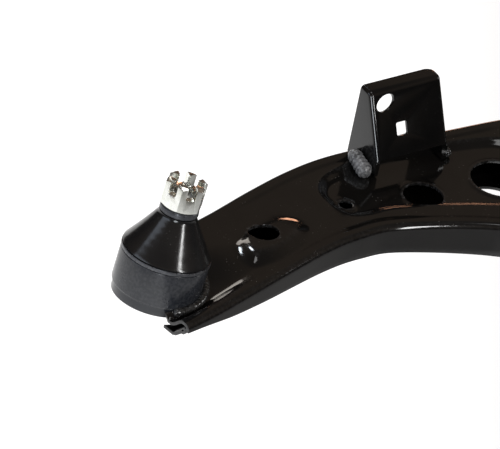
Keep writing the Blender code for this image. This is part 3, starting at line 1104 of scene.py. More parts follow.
@dataclass
class Sheet:
    """A pressed sheet: a flat with relief, a rounded arris and a skirt, made over one plan."""

    name: str
    plan: ArmPlan
    inset: float
    arris: float
    thickness: float
    side: Side
    relief: Callable[[np.ndarray], np.ndarray]
    skirt_end: Callable[[np.ndarray], np.ndarray]
    rings: list[np.ndarray]
    holes: Sequence[Hole]
    draft: float = 0.06
    pitch: float = 1.5
    lattice: float = 2.0

    def build(self) -> Piece:
        """Makes the sheet, gives it its thickness and cuts it to its ends.

        Returns:
            The closed shell.
        """
        edges = self.plan.edges(self.pitch, self.inset)
        tops = [shifted(run, self.arris) for run in edges]
        floor, faces = self.flat(tops)
        points = [np.column_stack([floor, self.relief(floor)])]
        start = len(floor)
        for run, top in zip(edges, tops):
            ring = self.skirt_rings(run, top)
            points.append(ring.reshape(-1, 3))
            rows, count = ring.shape[:2]
            for i in range(rows - 1):
                for k in range(count - 1):
                    low, high = start + i * count + k, start + (i + 1) * count + k
                    faces.append((low, high, high + 1, low + 1))
            start += rows * count
        cloud = np.vstack(points)
        cloud[:, 2] *= self.side.value
        piece = from_arrays(self.name, cloud, faces)
        self.trim(piece)
        with editing(piece):
            bpy.ops.mesh.select_all(action="SELECT")
            bpy.ops.mesh.normals_make_consistent(inside=False)
            shape = bmesh.from_edit_mesh(piece.data)
            flats = [face.normal.z for face in shape.faces if abs(face.normal.z) > 0.9]
            if sum(flats) * self.side.value < 0:
                bpy.ops.mesh.flip_normals()
        with_modifier(piece, "SOLIDIFY", thickness=self.thickness * MM, offset=-1.0, use_even_offset=True)
        rounded(piece, 0.35, 2, 60)
        return piece

    def flat(self, tops: list[np.ndarray]) -> tuple[np.ndarray, list[tuple[int, ...]]]:
        """Triangles of the flat, following its edges, its holes and the lines of its relief.

        Args:
            tops: The three edges of the flat.

        Returns:
            Plan points and triangles.
        """
        end = self.plan.near_end - self.plan.overrun
        far = self.plan.far_end - self.plan.overrun
        ball_side = np.array([(far, -0.25), (end, -0.25)])
        outer = np.vstack([*tops, ball_side])
        loops = [outer]
        extra = list(self.rings)
        for x, y, radius in self.holes:
            for grow in (0.0, 0.5, 1.1, 1.9, 2.9):
                count = max(24, round(math.tau * (radius + grow) / 1.1))
                angles = np.linspace(0, math.tau, count, endpoint=False) + 0.13
                way = np.stack([np.cos(angles), np.sin(angles)], axis=1)
                ring = np.array([x, y]) + (radius + grow) * way
                loops.append(ring) if grow == 0.0 else extra.append(ring)
        fixed = np.vstack(loops)
        kept = [point for ring in extra for point in self.clear_of(ring, fixed, 0.7)]
        lines = thinned(np.array(kept), 0.55) if kept else np.zeros((0, 2))
        grid = self.hexagons(outer)
        grid = self.clear_of(grid, np.vstack([fixed, lines]), 0.62 * self.lattice)
        points = np.vstack([lines, grid])
        points = points[inside(points, outer)]
        for x, y, radius in self.holes:
            points = points[np.hypot(points[:, 0] - x, points[:, 1] - y) > radius + 0.3]
        cloud = np.vstack([fixed, points])
        ties: list[tuple[int, int]] = []
        start = 0
        for loop in loops:
            ties += [(start + k, start + (k + 1) % len(loop)) for k in range(len(loop))]
            start += len(loop)
        made = delaunay_2d_cdt([Vector(p) for p in cloud.tolist()], ties, [], 1, 1e-6)
        flat = np.array([tuple(p) for p in made[0]])
        triangles = np.array([tuple(face) for face in made[2] if len(face) == 3])
        middles = flat[triangles].mean(axis=1)
        keep = inside(middles, outer)
        for x, y, radius in self.holes:
            keep &= np.hypot(middles[:, 0] - x, middles[:, 1] - y) > radius * 0.995
        return flat, [tuple(face) for face in triangles[keep]]

    def clear_of(self, points: np.ndarray, others: np.ndarray, distance: float) -> np.ndarray:
        """The points that keep a distance from others.

        Args:
            points: Points to thin.
            others: Points to stay away from.
            distance: How far, in millimetres.

        Returns:
            The points kept.
        """
        tree = KDTree(len(others))
        for k, (x, y) in enumerate(others):
            tree.insert((x, y, 0), k)
        tree.balance()
        return np.array([p for p in points if tree.find((p[0], p[1], 0))[2] > distance]).reshape(-1, 2)

    def hexagons(self, outer: np.ndarray) -> np.ndarray:
        """A lattice of points over the flat.

        Args:
            outer: The flat's outline.

        Returns:
            The points inside the outline.
        """
        low, high = outer.min(axis=0), outer.max(axis=0)
        rows = np.arange(low[1], high[1], self.lattice * 0.866)
        columns = np.arange(low[0], high[0], self.lattice)
        grid = np.array([(x + (k % 2) * self.lattice / 2, y) for k, y in enumerate(rows) for x in columns])
        return grid[inside(grid, outer)]

    def skirt_rings(self, run: np.ndarray, top: np.ndarray) -> np.ndarray:
        """Rows of points round the arris and down the skirt.

        Args:
            run: The skirt's line in plan.
            top: The edge of the flat.

        Returns:
            An array of rows, points and X, Y, Z.
        """
        height = self.relief(top)
        rows = []
        for turn in np.linspace(90, 0, 9):
            a = math.radians(turn)
            share = math.cos(a)
            drop = self.arris * (1 - math.sin(a))
            rows.append(np.column_stack([top + (run - top) * share, height - drop]))
        low = height - self.arris
        end = self.skirt_end(run[:, 0])
        outwards = (run - top) / self.arris
        for share in (0.25, 0.5, 0.75, 1.0):
            z = low + (end - low) * share
            rows.append(np.column_stack([run + outwards * ((low - z) * self.draft)[:, None], z]))
        return np.array(rows)

    def trim(self, piece: Piece) -> None:
        """Cuts the open sheet square at its two ends beside the ball joint.

        Args:
            piece: The sheet before it has thickness.
        """
        for end, near in ((self.plan.near_end, True), (self.plan.far_end, False)):
            with editing(piece):
                choose(piece, Element.FACE, lambda c, _: c.x < end + 8 and (c.y < -0.2) == near)
                bpy.ops.mesh.bisect(
                    plane_co=(end * MM, 0, 0), plane_no=(1, 0, 0), clear_inner=True, threshold=1e-7
                )


def thinned(points: np.ndarray, distance: float) -> np.ndarray:
    """Drops points that lie nearer than a distance to one kept before.

    Args:
        points: Points in order.
        distance: Smallest spacing in millimetres.

    Returns:
        The points kept.
    """
    cell: dict[tuple[int, int], list[np.ndarray]] = {}
    kept = []
    for point in points:
        i, j = int(point[0] // distance), int(point[1] // distance)
        near = [q for a in (i - 1, i, i + 1) for b in (j - 1, j, j + 1) for q in cell.get((a, b), [])]
        if all(np.hypot(*(point - q)) >= distance for q in near):
            cell.setdefault((i, j), []).append(point)
            kept.append(point)
    return np.array(kept)


@dataclass
class Shells:
    """The two pressed shells and the welds along their seam.

    Pairs of the relief hold where a slope starts and how long it is, in millimetres.
    """

    plan: ArmPlan = field(default_factory=ArmPlan)
    sheet: float = 1.8
    arris: float = 4.0
    lip: float = 2.2
    flange: float = 6.0
    pocket_depth: float = 3.0
    pocket_slope: float = 8.0
    pad_height: float = 3.6
    pad_slope: float = 14.0
    pad_front_slope: float = 16.0  # added to the slope on the pad's front side
    pad_front_drop: float = 0.65  # share of its height that it loses on that side
    pad_end: Pair = (92, 26)
    rim_width: float = 6.5  # raised rim along the edges, beside a shallow step
    rim_slope: float = 4.0
    rim_step: float = 0.55
    rim_start: Pair = (60, 40)
    rim_end: Pair = (255, 30)
    valley: float = 6.4
    valley_edge: Pair = (5, 11)
    valley_front: Pair = (-22, 34)
    end_drop: float = 2.4
    end_front: Pair = (-10, 30)
    saddle: float = 4.6  # how far the valley stays up round the ball joint
    saddle_slope: Pair = (24.0, 6.5)
    skirt_lift: float = 1.9
    rib: float = 1.6
    housing_clear: float = 26.1
    tube_line: Pair = (325.0, -13.0)
    tube_clear: float = 23.3

    def __post_init__(self) -> None:
        """Sets out the curves that the relief is measured from."""
        self.pocket = resampled(spline_loop(self.plan.pocket), 3.0, True)
        self.pad = resampled(spline_loop(self.plan.pad), 2.5, True)
        self.edge_lines = self.plan.edges(4.0)

    def fade(self, x: np.ndarray, length: float) -> np.ndarray:
        """1 at the cut end beside the ball joint, easing to 0 inboard."""
        return 1 - ramp(x, self.plan.near_end, length)

    def height(self, points: np.ndarray) -> np.ndarray:
        """Relief of the upper shell.

        Args:
            points: Plan points.

        Returns:
            Heights in millimetres, 0 on the arm's flat top.
        """
        x, y = points[:, 0], points[:, 1]
        rear, _, front = (distance_to(points, line) for line in self.edge_lines)
        pocket = depth_inside(points, self.pocket)
        pad = depth_inside(points, self.pad)
        h = -self.pocket_depth * ramp(pocket, -0.5, self.pocket_slope)
        slope = self.pad_slope + self.pad_front_slope * ramp(y, -2, 14)
        height = self.pad_height * (1 - self.pad_front_drop * ramp(y, -14, 36))
        h += height * ease(pad / slope) * (1 - ramp(x, *self.pad_end))
        step = self.rim_step * ramp(np.minimum(rear, front), self.rim_width, self.rim_slope)
        h -= step * ramp(x, *self.rim_start) * (1 - ramp(x, *self.rim_end))
        sunk = self.fade(x, 95) * ramp(rear, *self.valley_edge) * (1 - ramp(y, *self.valley_front))
        h -= self.valley * sunk + self.end_drop * self.fade(x, 80) * (1 - ramp(y, *self.end_front))
        h += self.saddle * (1 - ramp(np.hypot(x, y), *self.saddle_slope)) * sunk
        _, drain, middle, inner = self.plan.holes
        for (cx, cy, radius), lip, width in ((drain, 0.7, 2.2), (middle, 0.35, 2.0), (inner, 0.45, 2.4)):
            out = (np.hypot(x - cx, y - cy) - radius) / width
            h += lip * ease(1.4 - out) * ease(out * 3 + 0.6)
        return h

    def lower_height(self, points: np.ndarray) -> np.ndarray:
        """Relief of the lower shell, measured downwards.

        Args:
            points: Plan points.

        Returns:
            Depths in millimetres, as the sheet is made face down.
        """
        x, y = points[:, 0], points[:, 1]
        rear, _, front = (distance_to(points, line) for line in self.edge_lines)
        floor = self.lip - self.plan.skirt(x) - self.skirt_lift * self.fade(x, 50)
        sunk = self.fade(x, 90) * ramp(rear, 1.5, 11) * (1 - ramp(y, -18, 30))
        rib = ramp(np.minimum(rear, front), 14, 9) * ramp(x, 100, 40) * (1 - ramp(x, *self.rim_end))
        return floor + self.valley * sunk - self.rib * rib

    def relief_lines(self) -> list[np.ndarray]:
        """Rings of points that follow the upper shell's relief.

        Returns:
            Plan curves.
        """
        lines = []
        pocket = resampled(spline_loop(self.plan.pocket), 1.6, True)
        pad = resampled(spline_loop(self.plan.pad), 1.5, True)
        for distance in (-2, -1, 0, 1, 2, 3.2, 4.4, 5.6, 6.8, 8, 9.2):
            lines.append(shifted(pocket, distance, True))
        for distance in (-1.5, 0, 1.5, 3, 4.5, 6, 7.5, 9, 10.5, 12, 13.5):
            ring = shifted(pad, distance, True)
            lines.append(ring[depth_inside(ring, self.pad) > distance - 0.6])
        for distance in (5.2, 6.4, 7.6, 8.8, 10, 11.4, 13, 14.6, 16.2):
            for edge in self.plan.edges(1.6):
                ring = shifted(edge, distance)
                lines.append(ring[distance_to(ring, resampled(edge, 4)) > distance - 0.5])
        return lines

    def cut_to_fit(self, shell: Piece) -> None:
        """Takes out what the ball housing and the two bush tubes need.

        Args:
            shell: The shell with its thickness.
        """
        x, z = self.tube_line
        tubes = Matrix.Translation((x, 0, z)) @ Matrix.Rotation(math.radians(-90), 4, "X")
        reach = 80.0
        for name, radius, low, place in (
            ("housing_room", self.housing_clear, -reach, BALL_PLACE),
            ("tube_room", self.tube_clear, -260.0, tubes),
        ):
            rod = [(0, low), (radius, low), (radius, reach), (0, reach)]
            combined(shell, lathe(name, rod, 128, place, closed=False))

    def upper(self) -> Piece:
        """The upper shell, with its pad, pocket, holes and skirt.

        Returns:
            The piece.
        """
        sheet = Sheet(
            "arm_upper_shell", self.plan, 0.0, self.arris, self.sheet, Side.DOWN, self.height,
            lambda x: self.plan.skirt(x) + self.skirt_lift * self.fade(x, 50), self.relief_lines(),
            self.plan.holes,
        )
        shell = sheet.build()
        self.cut_to_fit(shell)
        return dressed(settle(shell, angle=40), ARM_PAINT, "arm", "upper_shell")

    def lower(self) -> Piece:
        """The lower shell, whose flange turns up inside the upper one's skirt.

        Returns:
            The piece.
        """
        sheet = Sheet(
            "arm_lower_shell", self.plan, self.sheet + GAP, 3.0, self.sheet, Side.UP, self.lower_height,
            lambda x: -self.plan.skirt(x) - self.flange + 2.6 * self.fade(x, 70), [], self.plan.holes[3:],
            draft=-0.02, lattice=3.0,
        )
        shell = sheet.build()
        self.cut_to_fit(shell)
        return dressed(settle(shell, angle=40), ARM_PAINT, "arm", "lower_shell")

    def seams(self) -> None:
        """The beads under the skirt, along the rear and the front edge."""
        rear, _, front = self.plan.edges(4.0)
        for label, run, start in (("rear", rear, self.plan.near_end), ("front", front, self.plan.far_end)):
            line = shifted(run, self.sheet + 0.3)
            line = line[(line[:, 0] > start + 6) & (line[:, 0] < self.tube_line[0] - 32)]
            height = self.plan.skirt(line[:, 0]) + self.skirt_lift * self.fade(line[:, 0], 50) - 0.5
            route = [Vector(point) for point in np.column_stack([line, height])]
            bead = weld_bead("seam_bead_" + label, route, 0.9, 0.12, 2.4, seed=len(label))
            dressed(bead, WELD_PAINT, "arm", "seam_weld_" + label)

    def build(self) -> None:
        """Makes both shells and their seam welds."""
        self.upper()
        self.lower()
        self.seams()


@dataclass
class Bracket:
    """The upright bracket: a leaning plate folded between two flanges, under a narrow ledge."""

    corner: tuple[float, float] = (177.0, 15.2)
    turn: float = math.radians(-6.9)
    width: float = 50.0
    depth: float = 27.0
    top: float = 43.5
    foot: float = -2.6
    plate_low: float = 8.0
    ledge: float = 8.5
    sheet: float = 2.4
    bend: float = 2.6
    slot_centre: Pair = (10.0, 32.3)
    slot_half: Pair = (6.6, 4.3)
    slot_turn: float = math.radians(23)
    square_centre: Pair = (19.6, 15.5)
    square_half: float = 3.9
    corner_radius: float = 7.0

    def place(self) -> Matrix:
        """Puts the bracket's own axes (across, back, up) on the arm."""
        return Matrix.Translation((*self.corner, 0)) @ Matrix.Rotation(self.turn, 4, "Z")

    def plate(self) -> Matrix:
        """Axes that lie on the leaning plate."""
        lean = math.atan2(self.depth - self.ledge, self.top - self.plate_low)
        return self.place() @ Matrix.Translation((0, 0, self.plate_low)) @ Matrix.Rotation(-lean, 4, "X")

    def block(self, name: str, low: Vector, high: Vector) -> Piece:
        """A cube between two corners, in millimetres, in its own axes.

        Args:
            name: Name of the object.
            low: Lowest corner.
            high: Highest corner.

        Returns:
            The block.
        """
        bpy.ops.object.select_all(action="DESELECT")
        bpy.ops.mesh.primitive_cube_add(size=1)
        made = bpy.context.object
        made.name = name
        made.scale = (high - low) * MM
        made.location = (high + low) / 2 * MM
        bpy.ops.object.transform_apply(location=True, rotation=True, scale=True)
        return made

    def folded(self) -> Piece:
        """The sheet before it has thickness: a box with its front leant back and three faces left out.

        Returns:
            The open sheet.
        """
        high = Vector((self.width, self.depth, self.top))
        body = self.block("upright_bracket", Vector((0, 0, self.foot)), high)
        with editing(body):
            bpy.ops.mesh.select_all(action="SELECT")
            bpy.ops.mesh.bisect(plane_co=(0, 0, self.plate_low * MM), plane_no=(0, 0, 1))
            choose(body, Element.VERT, lambda c, _: c.y < 0.1 and c.z > self.top - 0.1)
            bpy.ops.transform.translate(value=(0, (self.depth - self.ledge) * MM, 0))
            choose(
                body, Element.FACE,
                lambda c, face: c.z < self.foot + 0.1 or face.normal.y > 0.9
                or (c.z < self.plate_low and c.y < 0.1),
            )
            bpy.ops.mesh.delete(type="FACE")
            choose(
                body, Element.EDGE,
                lambda c, edge: len(edge.link_faces) == 2 and abs(c.z - self.plate_low) > 0.1
                and edge.calc_face_angle(0) > 0.3,
            )
            bpy.ops.mesh.bevel(offset=self.bend * MM, segments=6, affect="EDGES")
        return body

    def build(self) -> None:
        """Makes the bracket, its holes and its two welds."""
        body = self.folded()
        with_modifier(body, "SOLIDIFY", thickness=self.sheet * MM, offset=-1.0, use_even_offset=True)
        settle(body, self.place())
        for tool in (self.slot_tool(), self.square_tool(), self.corner_tool()):
            combined(body, tool)
        rounded(body, 0.4, 3, 50)
        dressed(body, BRACKET_PAINT_SHADED, "arm", "bracket", smooth=35)
        self.welds()

    def slot_tool(self) -> Piece:
        """The slanted oval that is punched through the plate.

        Returns:
            The cutter.
        """
        bpy.ops.object.select_all(action="DESELECT")
        bpy.ops.mesh.primitive_cylinder_add(vertices=64, radius=1, depth=0.03, rotation=(math.pi / 2, 0, 0))
        tool = bpy.context.object
        bpy.ops.object.transform_apply(location=True, rotation=True, scale=True)
        long_half, short_half = self.slot_half
        tool.scale = (long_half * MM, 1.0, short_half * MM)
        bpy.ops.object.transform_apply(location=True, rotation=True, scale=True)
        u, v = self.slot_centre
        middle = self.plate() @ Matrix.Translation((u, 0, v))
        return settle(tool, middle @ Matrix.Rotation(-self.slot_turn, 4, "Y"))

    def square_tool(self) -> Piece:
        """The square hole in the plate, with its corners a little rounded.

        Returns:
            The cutter.
        """
        u, v = self.square_centre
        half = self.square_half
        tool = self.block("square_tool", Vector((u - half, -12, v - half)), Vector((u + half, 14, v + half)))
        with editing(tool):
            choose(tool, Element.EDGE, lambda _, edge: abs((edge.verts[0].co - edge.verts[1].co).y) > 0.01)
            bpy.ops.mesh.bevel(offset=0.9 * MM, segments=3, affect="EDGES")
        return settle(tool, self.plate())

    def corner_tool(self) -> Piece:
        """What rounds the ledge's rear right corner.

        Returns:
            The cutter.
        """
        corner = Vector((self.width, self.depth, self.top))
        centre = corner - Vector((self.corner_radius, self.corner_radius, 0))
        past = 6.0  # how far the cutter stands past the sheet
        tool = self.block("corner_tool", centre - Vector((0, 0, past)), corner + Vector((past, past, past)))
        bpy.ops.mesh.primitive_cylinder_add(
            vertices=64, radius=self.corner_radius * MM, depth=0.04, location=centre * MM
        )
        keep = bpy.context.object
        bpy.ops.object.transform_apply(location=True, rotation=True, scale=True)
        combined(tool, keep)
        return settle(tool, self.place())

    def welds(self) -> None:
        """One bead along the foot of each flange, from the pocket's floor up on to the arm's top."""
        pocket = 3.0  # depth of the pocket's floor
        for label, offset, radius, length, paint in (
            # The left bead's light grey finish is a painted reflection
            ("left", -4.6, 4.4, 18.5, BRACKET_WELD_PAINTED_SHEEN),
            ("right", self.width + 2.7, 2.7, 15.0, WELD_PAINT),
        ):
            route = []
            for depth in (length * i / 8 for i in range(9)):
                rise = pocket * min(1.0, max(0.0, (depth - 5.0) / 9.0))
                route.append(self.place() @ Vector((offset, depth, GAP - pocket + radius * 0.72 + rise)))
            bead = weld_bead("bracket_bead_" + label, route, radius, 0.14, 2.6, seed=len(label) + 2)
            dressed(bead, paint, "arm", "bracket_weld_" + label)


# Ball joint


@dataclass
class BallJoint:
    """Everything on the tilted axis: housing, cover, stud, conical boot, its clips and the castle nut."""

    shells: Shells
    housing_radius: float = 25.75
    housing_low: float = -13.3
    housing_top: float = 14.0
    ball_radius: float = 12.0
    neck_radius: float = 8.0
    thread_radius: float = 7.0
    thread_pitch: float = 1.5
    thread_depth: float = 0.85
    boot_top: float = 41.7
    nut_low: float = 46.3
    nut_height: float = 16.0
    thread_end: float = 6.3  # how far the stud reaches up into the nut
    nut_flats: float = 22.0
    slot_depth: float = 7.6
    slot_width: float = 5.6
    nut_turn: float = math.radians(35.0)
    cotter_radius: float = 1.8
    cotter_depth: float = 4.0  # below the end of the thread
    boot_radius: float = 25.5
    boot_taper: float = 14.3
    boot_waist: float = 0.35  # how far the cone's side curves in
    cone_height: float = 22.6

    def housing(self) -> None:
        """The forged cup, with a smaller ring below and a mouth for the boot above."""
        ring = self.housing_radius - 1.3
        top = self.housing_top
        cup = lathe(
            "ball_cup",
            [
                (ring, self.housing_low), (ring, -7.7), (self.housing_radius, -6.9),
                (self.housing_radius, top), (15.5, top), (15.5, 11), (20.0, 9), (20.0, -11.9),
                (21.6, -11.9), (21.6, self.housing_low),
            ],
            128, BALL_PLACE, 0.45,
        )
        dressed(cup, HOUSING_PAINT, "arm", "ball_housing")
        cover = lathe(
            "cup_cover",
            [
                (0, -12.3), (21.2, -12.3), (21.2, -13.5), (18.6, -13.9), (17.2, -13.2), (9.0, -13.2),
                (7.8, -13.9), (0, -13.9),
            ],
            96, BALL_PLACE, 0.2, closed=False,
        )
        dressed(cover, MACHINED, "arm", "housing_cover")

    def threaded(self, name: str, radius: float, low: float, high: float, chamfer: float) -> Piece:
        """A threaded rod about Z.

        Args:
            name: Name of the piece.
            radius: Outer radius.
            low: Height of its lower end.
            high: Height of its upper end.
            chamfer: Length over which each end tapers.

        Returns:
            The rod.
        """
        sides = 64
        heights = np.linspace(low, high, round((high - low) / self.thread_pitch * 10) + 1)
        angles = np.linspace(0, math.tau, sides, endpoint=False)
        phase = (heights[:, None] / self.thread_pitch - angles[None, :] / math.tau) % 1.0
        flank = np.clip(np.abs(2 * phase - 1) * 1.35 - 0.12, 0, 1)
        reach = radius - self.thread_depth * (1 - flank)
        ends = np.minimum(heights - low, high - heights)
        limit = radius - self.thread_depth - 0.25 + ends * (self.thread_depth + 0.25) / max(chamfer, 0.01)
        reach = np.minimum(reach, limit[:, None])
        rise = np.repeat(heights[:, None], sides, axis=1)
        points = np.stack([reach * np.cos(angles), reach * np.sin(angles), rise], axis=2)
        return from_arrays(name, points.reshape(-1, 3), tube_faces(len(heights), sides))

    def stud(self) -> None:
        """Ball, neck, taper and thread, with the cotter pin's hole through the thread."""
        end = self.nut_low + self.thread_end
        neck = math.acos(self.neck_radius / self.ball_radius)
        low = math.radians(-56)
        arc = [low + (neck - low) * i / 40 for i in range(41)]
        ball = [(self.ball_radius * math.cos(a), self.ball_radius * math.sin(a)) for a in arc]
        body = lathe(
            "stud_with_ball",
            [
                (0, ball[0][1]), *ball, (7.8, 12), (self.neck_radius, 17), (8.9, 20), (7.5, 32.0),
                (6.2, 32.8), (5.6, 33.4), (5.6, 34.5), (0, 34.5),
            ],
            96, closed=False,
        )
        combined(body, self.threaded("thread", self.thread_radius, 33.0, end, 0.9), "UNION")
        bpy.ops.object.select_all(action="DESELECT")
        bpy.ops.mesh.primitive_cylinder_add(
            vertices=40, radius=self.cotter_radius * MM, depth=0.04,
            location=(0, 0, (end - self.cotter_depth) * MM),
            rotation=(0, math.pi / 2, self.nut_turn + math.radians(30)),
        )
        hole = bpy.context.object
        bpy.ops.object.transform_apply(location=True, rotation=True, scale=True)
        combined(body, hole)
        dressed(settle(body, BALL_PLACE, 30), MACHINED, "stud", "ball_stud")

    def nut(self) -> None:
        """The castle nut: a chamfered hexagon with six slots and a threaded bore."""
        corner = self.nut_flats / math.sqrt(3)
        flat = self.nut_flats / 2
        low, top = self.nut_low, self.nut_low + self.nut_height
        rise = (corner - flat) * 0.62
        bpy.ops.object.select_all(action="DESELECT")
        bpy.ops.mesh.primitive_cylinder_add(
            vertices=6, radius=corner * MM, depth=self.nut_height * MM,
            location=(0, 0, (low + top) / 2 * MM), rotation=(0, 0, self.nut_turn + math.pi / 2),
        )
        nut = bpy.context.object
        nut.name = "slotted_nut"
        bpy.ops.object.transform_apply(location=True, rotation=True, scale=True)
        form = lathe(
            "nut_form",
            [
                (0, low - 0.01), (flat - 0.1, low - 0.01), (corner + 0.4, low + rise + 0.2),
                (corner + 0.4, top - rise - 1.0), (flat - 0.9, top + 0.01), (0, top + 0.01),
            ],
            128, closed=False,
        )
        combined(nut, form, "INTERSECT")
        for k in range(3):
            combined(nut, self.slot_tool(k))
        rounded(nut, 0.28, 2, 25)
        combined(nut, self.threaded("bore_tool", self.thread_radius + 0.25, low - 4, top + 4, 0.1))
        chamfer = [(0, low - 1), (8.3, low - 1), (6.3, low + 1.2), (0, low + 1.2)]
        combined(nut, lathe("bore_chamfer", chamfer, 96, closed=False))
        dressed(settle(nut, BALL_PLACE, 28), ZINC, "stud", "castle_nut")

    def slot_tool(self, index: int) -> Piece:
        """A cutter for two opposite slots, round at their bottom.

        Args:
            index: Which pair of slots.

        Returns:
            The cutter.
        """
        half = self.slot_width / 2
        bottom = self.nut_low + self.nut_height - self.slot_depth
        bpy.ops.object.select_all(action="DESELECT")
        bpy.ops.mesh.primitive_cube_add(size=1)
        tool = bpy.context.object
        tool.scale = (0.04, 2 * half * MM, (self.slot_depth + 6) * MM)
        tool.location = (0, 0, (bottom + (self.slot_depth + 6) / 2) * MM)
        bpy.ops.object.transform_apply(location=True, rotation=True, scale=True)
        with editing(tool):
            choose(tool, Element.EDGE, lambda c, _: c.z < bottom + 0.01 and abs(c.y) > half - 0.01)
            bpy.ops.mesh.bevel(offset=1.1 * MM, segments=4, affect="EDGES")
        return settle(tool, Matrix.Rotation(self.nut_turn + math.radians(30 + 60 * index), 4, "Z"))

    def boot(self) -> None:
        """The glossy conical boot, its collar at the top and the two clips that hold it."""
        base = self.housing_top + GAP
        shoulder = base + 2.4
        wide = self.boot_radius
        outer = [
            (wide - 0.6, base), (wide - 0.6, shoulder), (wide, shoulder + 0.2), (wide + 0.25, shoulder + 0.7),
            (wide, shoulder + 1.2),
        ]
        cone = []
        for t in (i / 24 for i in range(1, 25)):
            radius = wide - self.boot_taper * t - self.boot_waist * math.sin(math.pi * t)
            cone.append((radius, shoulder + 1.2 + self.cone_height * t))
        inner = [(8.6 + 14.4 * t, 39.0 - (39.0 - shoulder) * t) for t in (i / 12 for i in range(13))]
        neck_low, neck_top = self.boot_top - 0.6, self.nut_low - 0.6
        profile = [
            *outer, *cone, (11.1, neck_low + 0.4), (10.6, self.boot_top), (9.2, self.boot_top),
            (9.2, neck_top), (7.9, neck_top), (7.9, 39.6), *inner, (22.4, base),
        ]
        boot = lathe("conical_boot", profile, 128, BALL_PLACE, angle=28)
        dressed(boot, BOOT_RUBBER, None, "dust_boot")
        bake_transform(boot)
        low, high = base + 0.1, shoulder - 0.2
        ring = [(25.2, low), (26.0, low), (26.0, high), (25.2, high)]
        lower = lathe("boot_ring", ring, 128, BALL_PLACE, 0.25)
        dressed(lower, CLIP_PAINT, "boot_base", "boot_clip_lower")
        low, high = self.boot_top + 0.3, self.nut_low - 0.4
        upper = lathe(
            "boot_collar",
            [(9.5, low), (10.9, low), (11.4, low + 0.8), (11.2, high - 0.7), (10.3, high), (9.5, high)],
            96, BALL_PLACE, 0.15,
        )
        dressed(upper, CLIP_PAINT, "stud", "boot_clip_upper")

    def weld(self) -> None:
        """The fillet round the inboard side of the cup, lying on the shell's top."""
        reach = self.housing_radius + GAP + 1.2
        bearings = np.radians(np.linspace(-112, 84, 60))
        round_cup = [BALL_PLACE @ Vector((reach * math.cos(b), reach * math.sin(b), 0)) for b in bearings]
        flat = np.array([tuple(point.xy) for point in round_cup])
        heights = self.shells.height(flat)
        route = [Vector((x, y, z + 0.1)) for (x, y), z in zip(flat, heights)]
        bead = weld_bead("cup_bead", route, 2.5, 0.09, 3.1, seed=9)
        dressed(bead, WELD_PAINT, "arm", "housing_weld")

    def inner(self, frame: dict) -> None:
        """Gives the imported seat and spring, which stay as they are, their finishes.
        """
        for node, finish in (("ball_seat", SEAT_PLASTIC), ("seat_spring", MACHINED)):
            mesh = frame["nodes"][node].data
            mesh.materials.clear()
            mesh.materials.append(finish.material())
            LOG.info("%s keeps its packed mesh", node)

    def build(self, frame: dict) -> None:
        """Makes the whole joint.
        """
        self.housing()
        self.stud()
        self.nut()
        self.boot()
        self.weld()
        self.inner(frame)


# Bushes


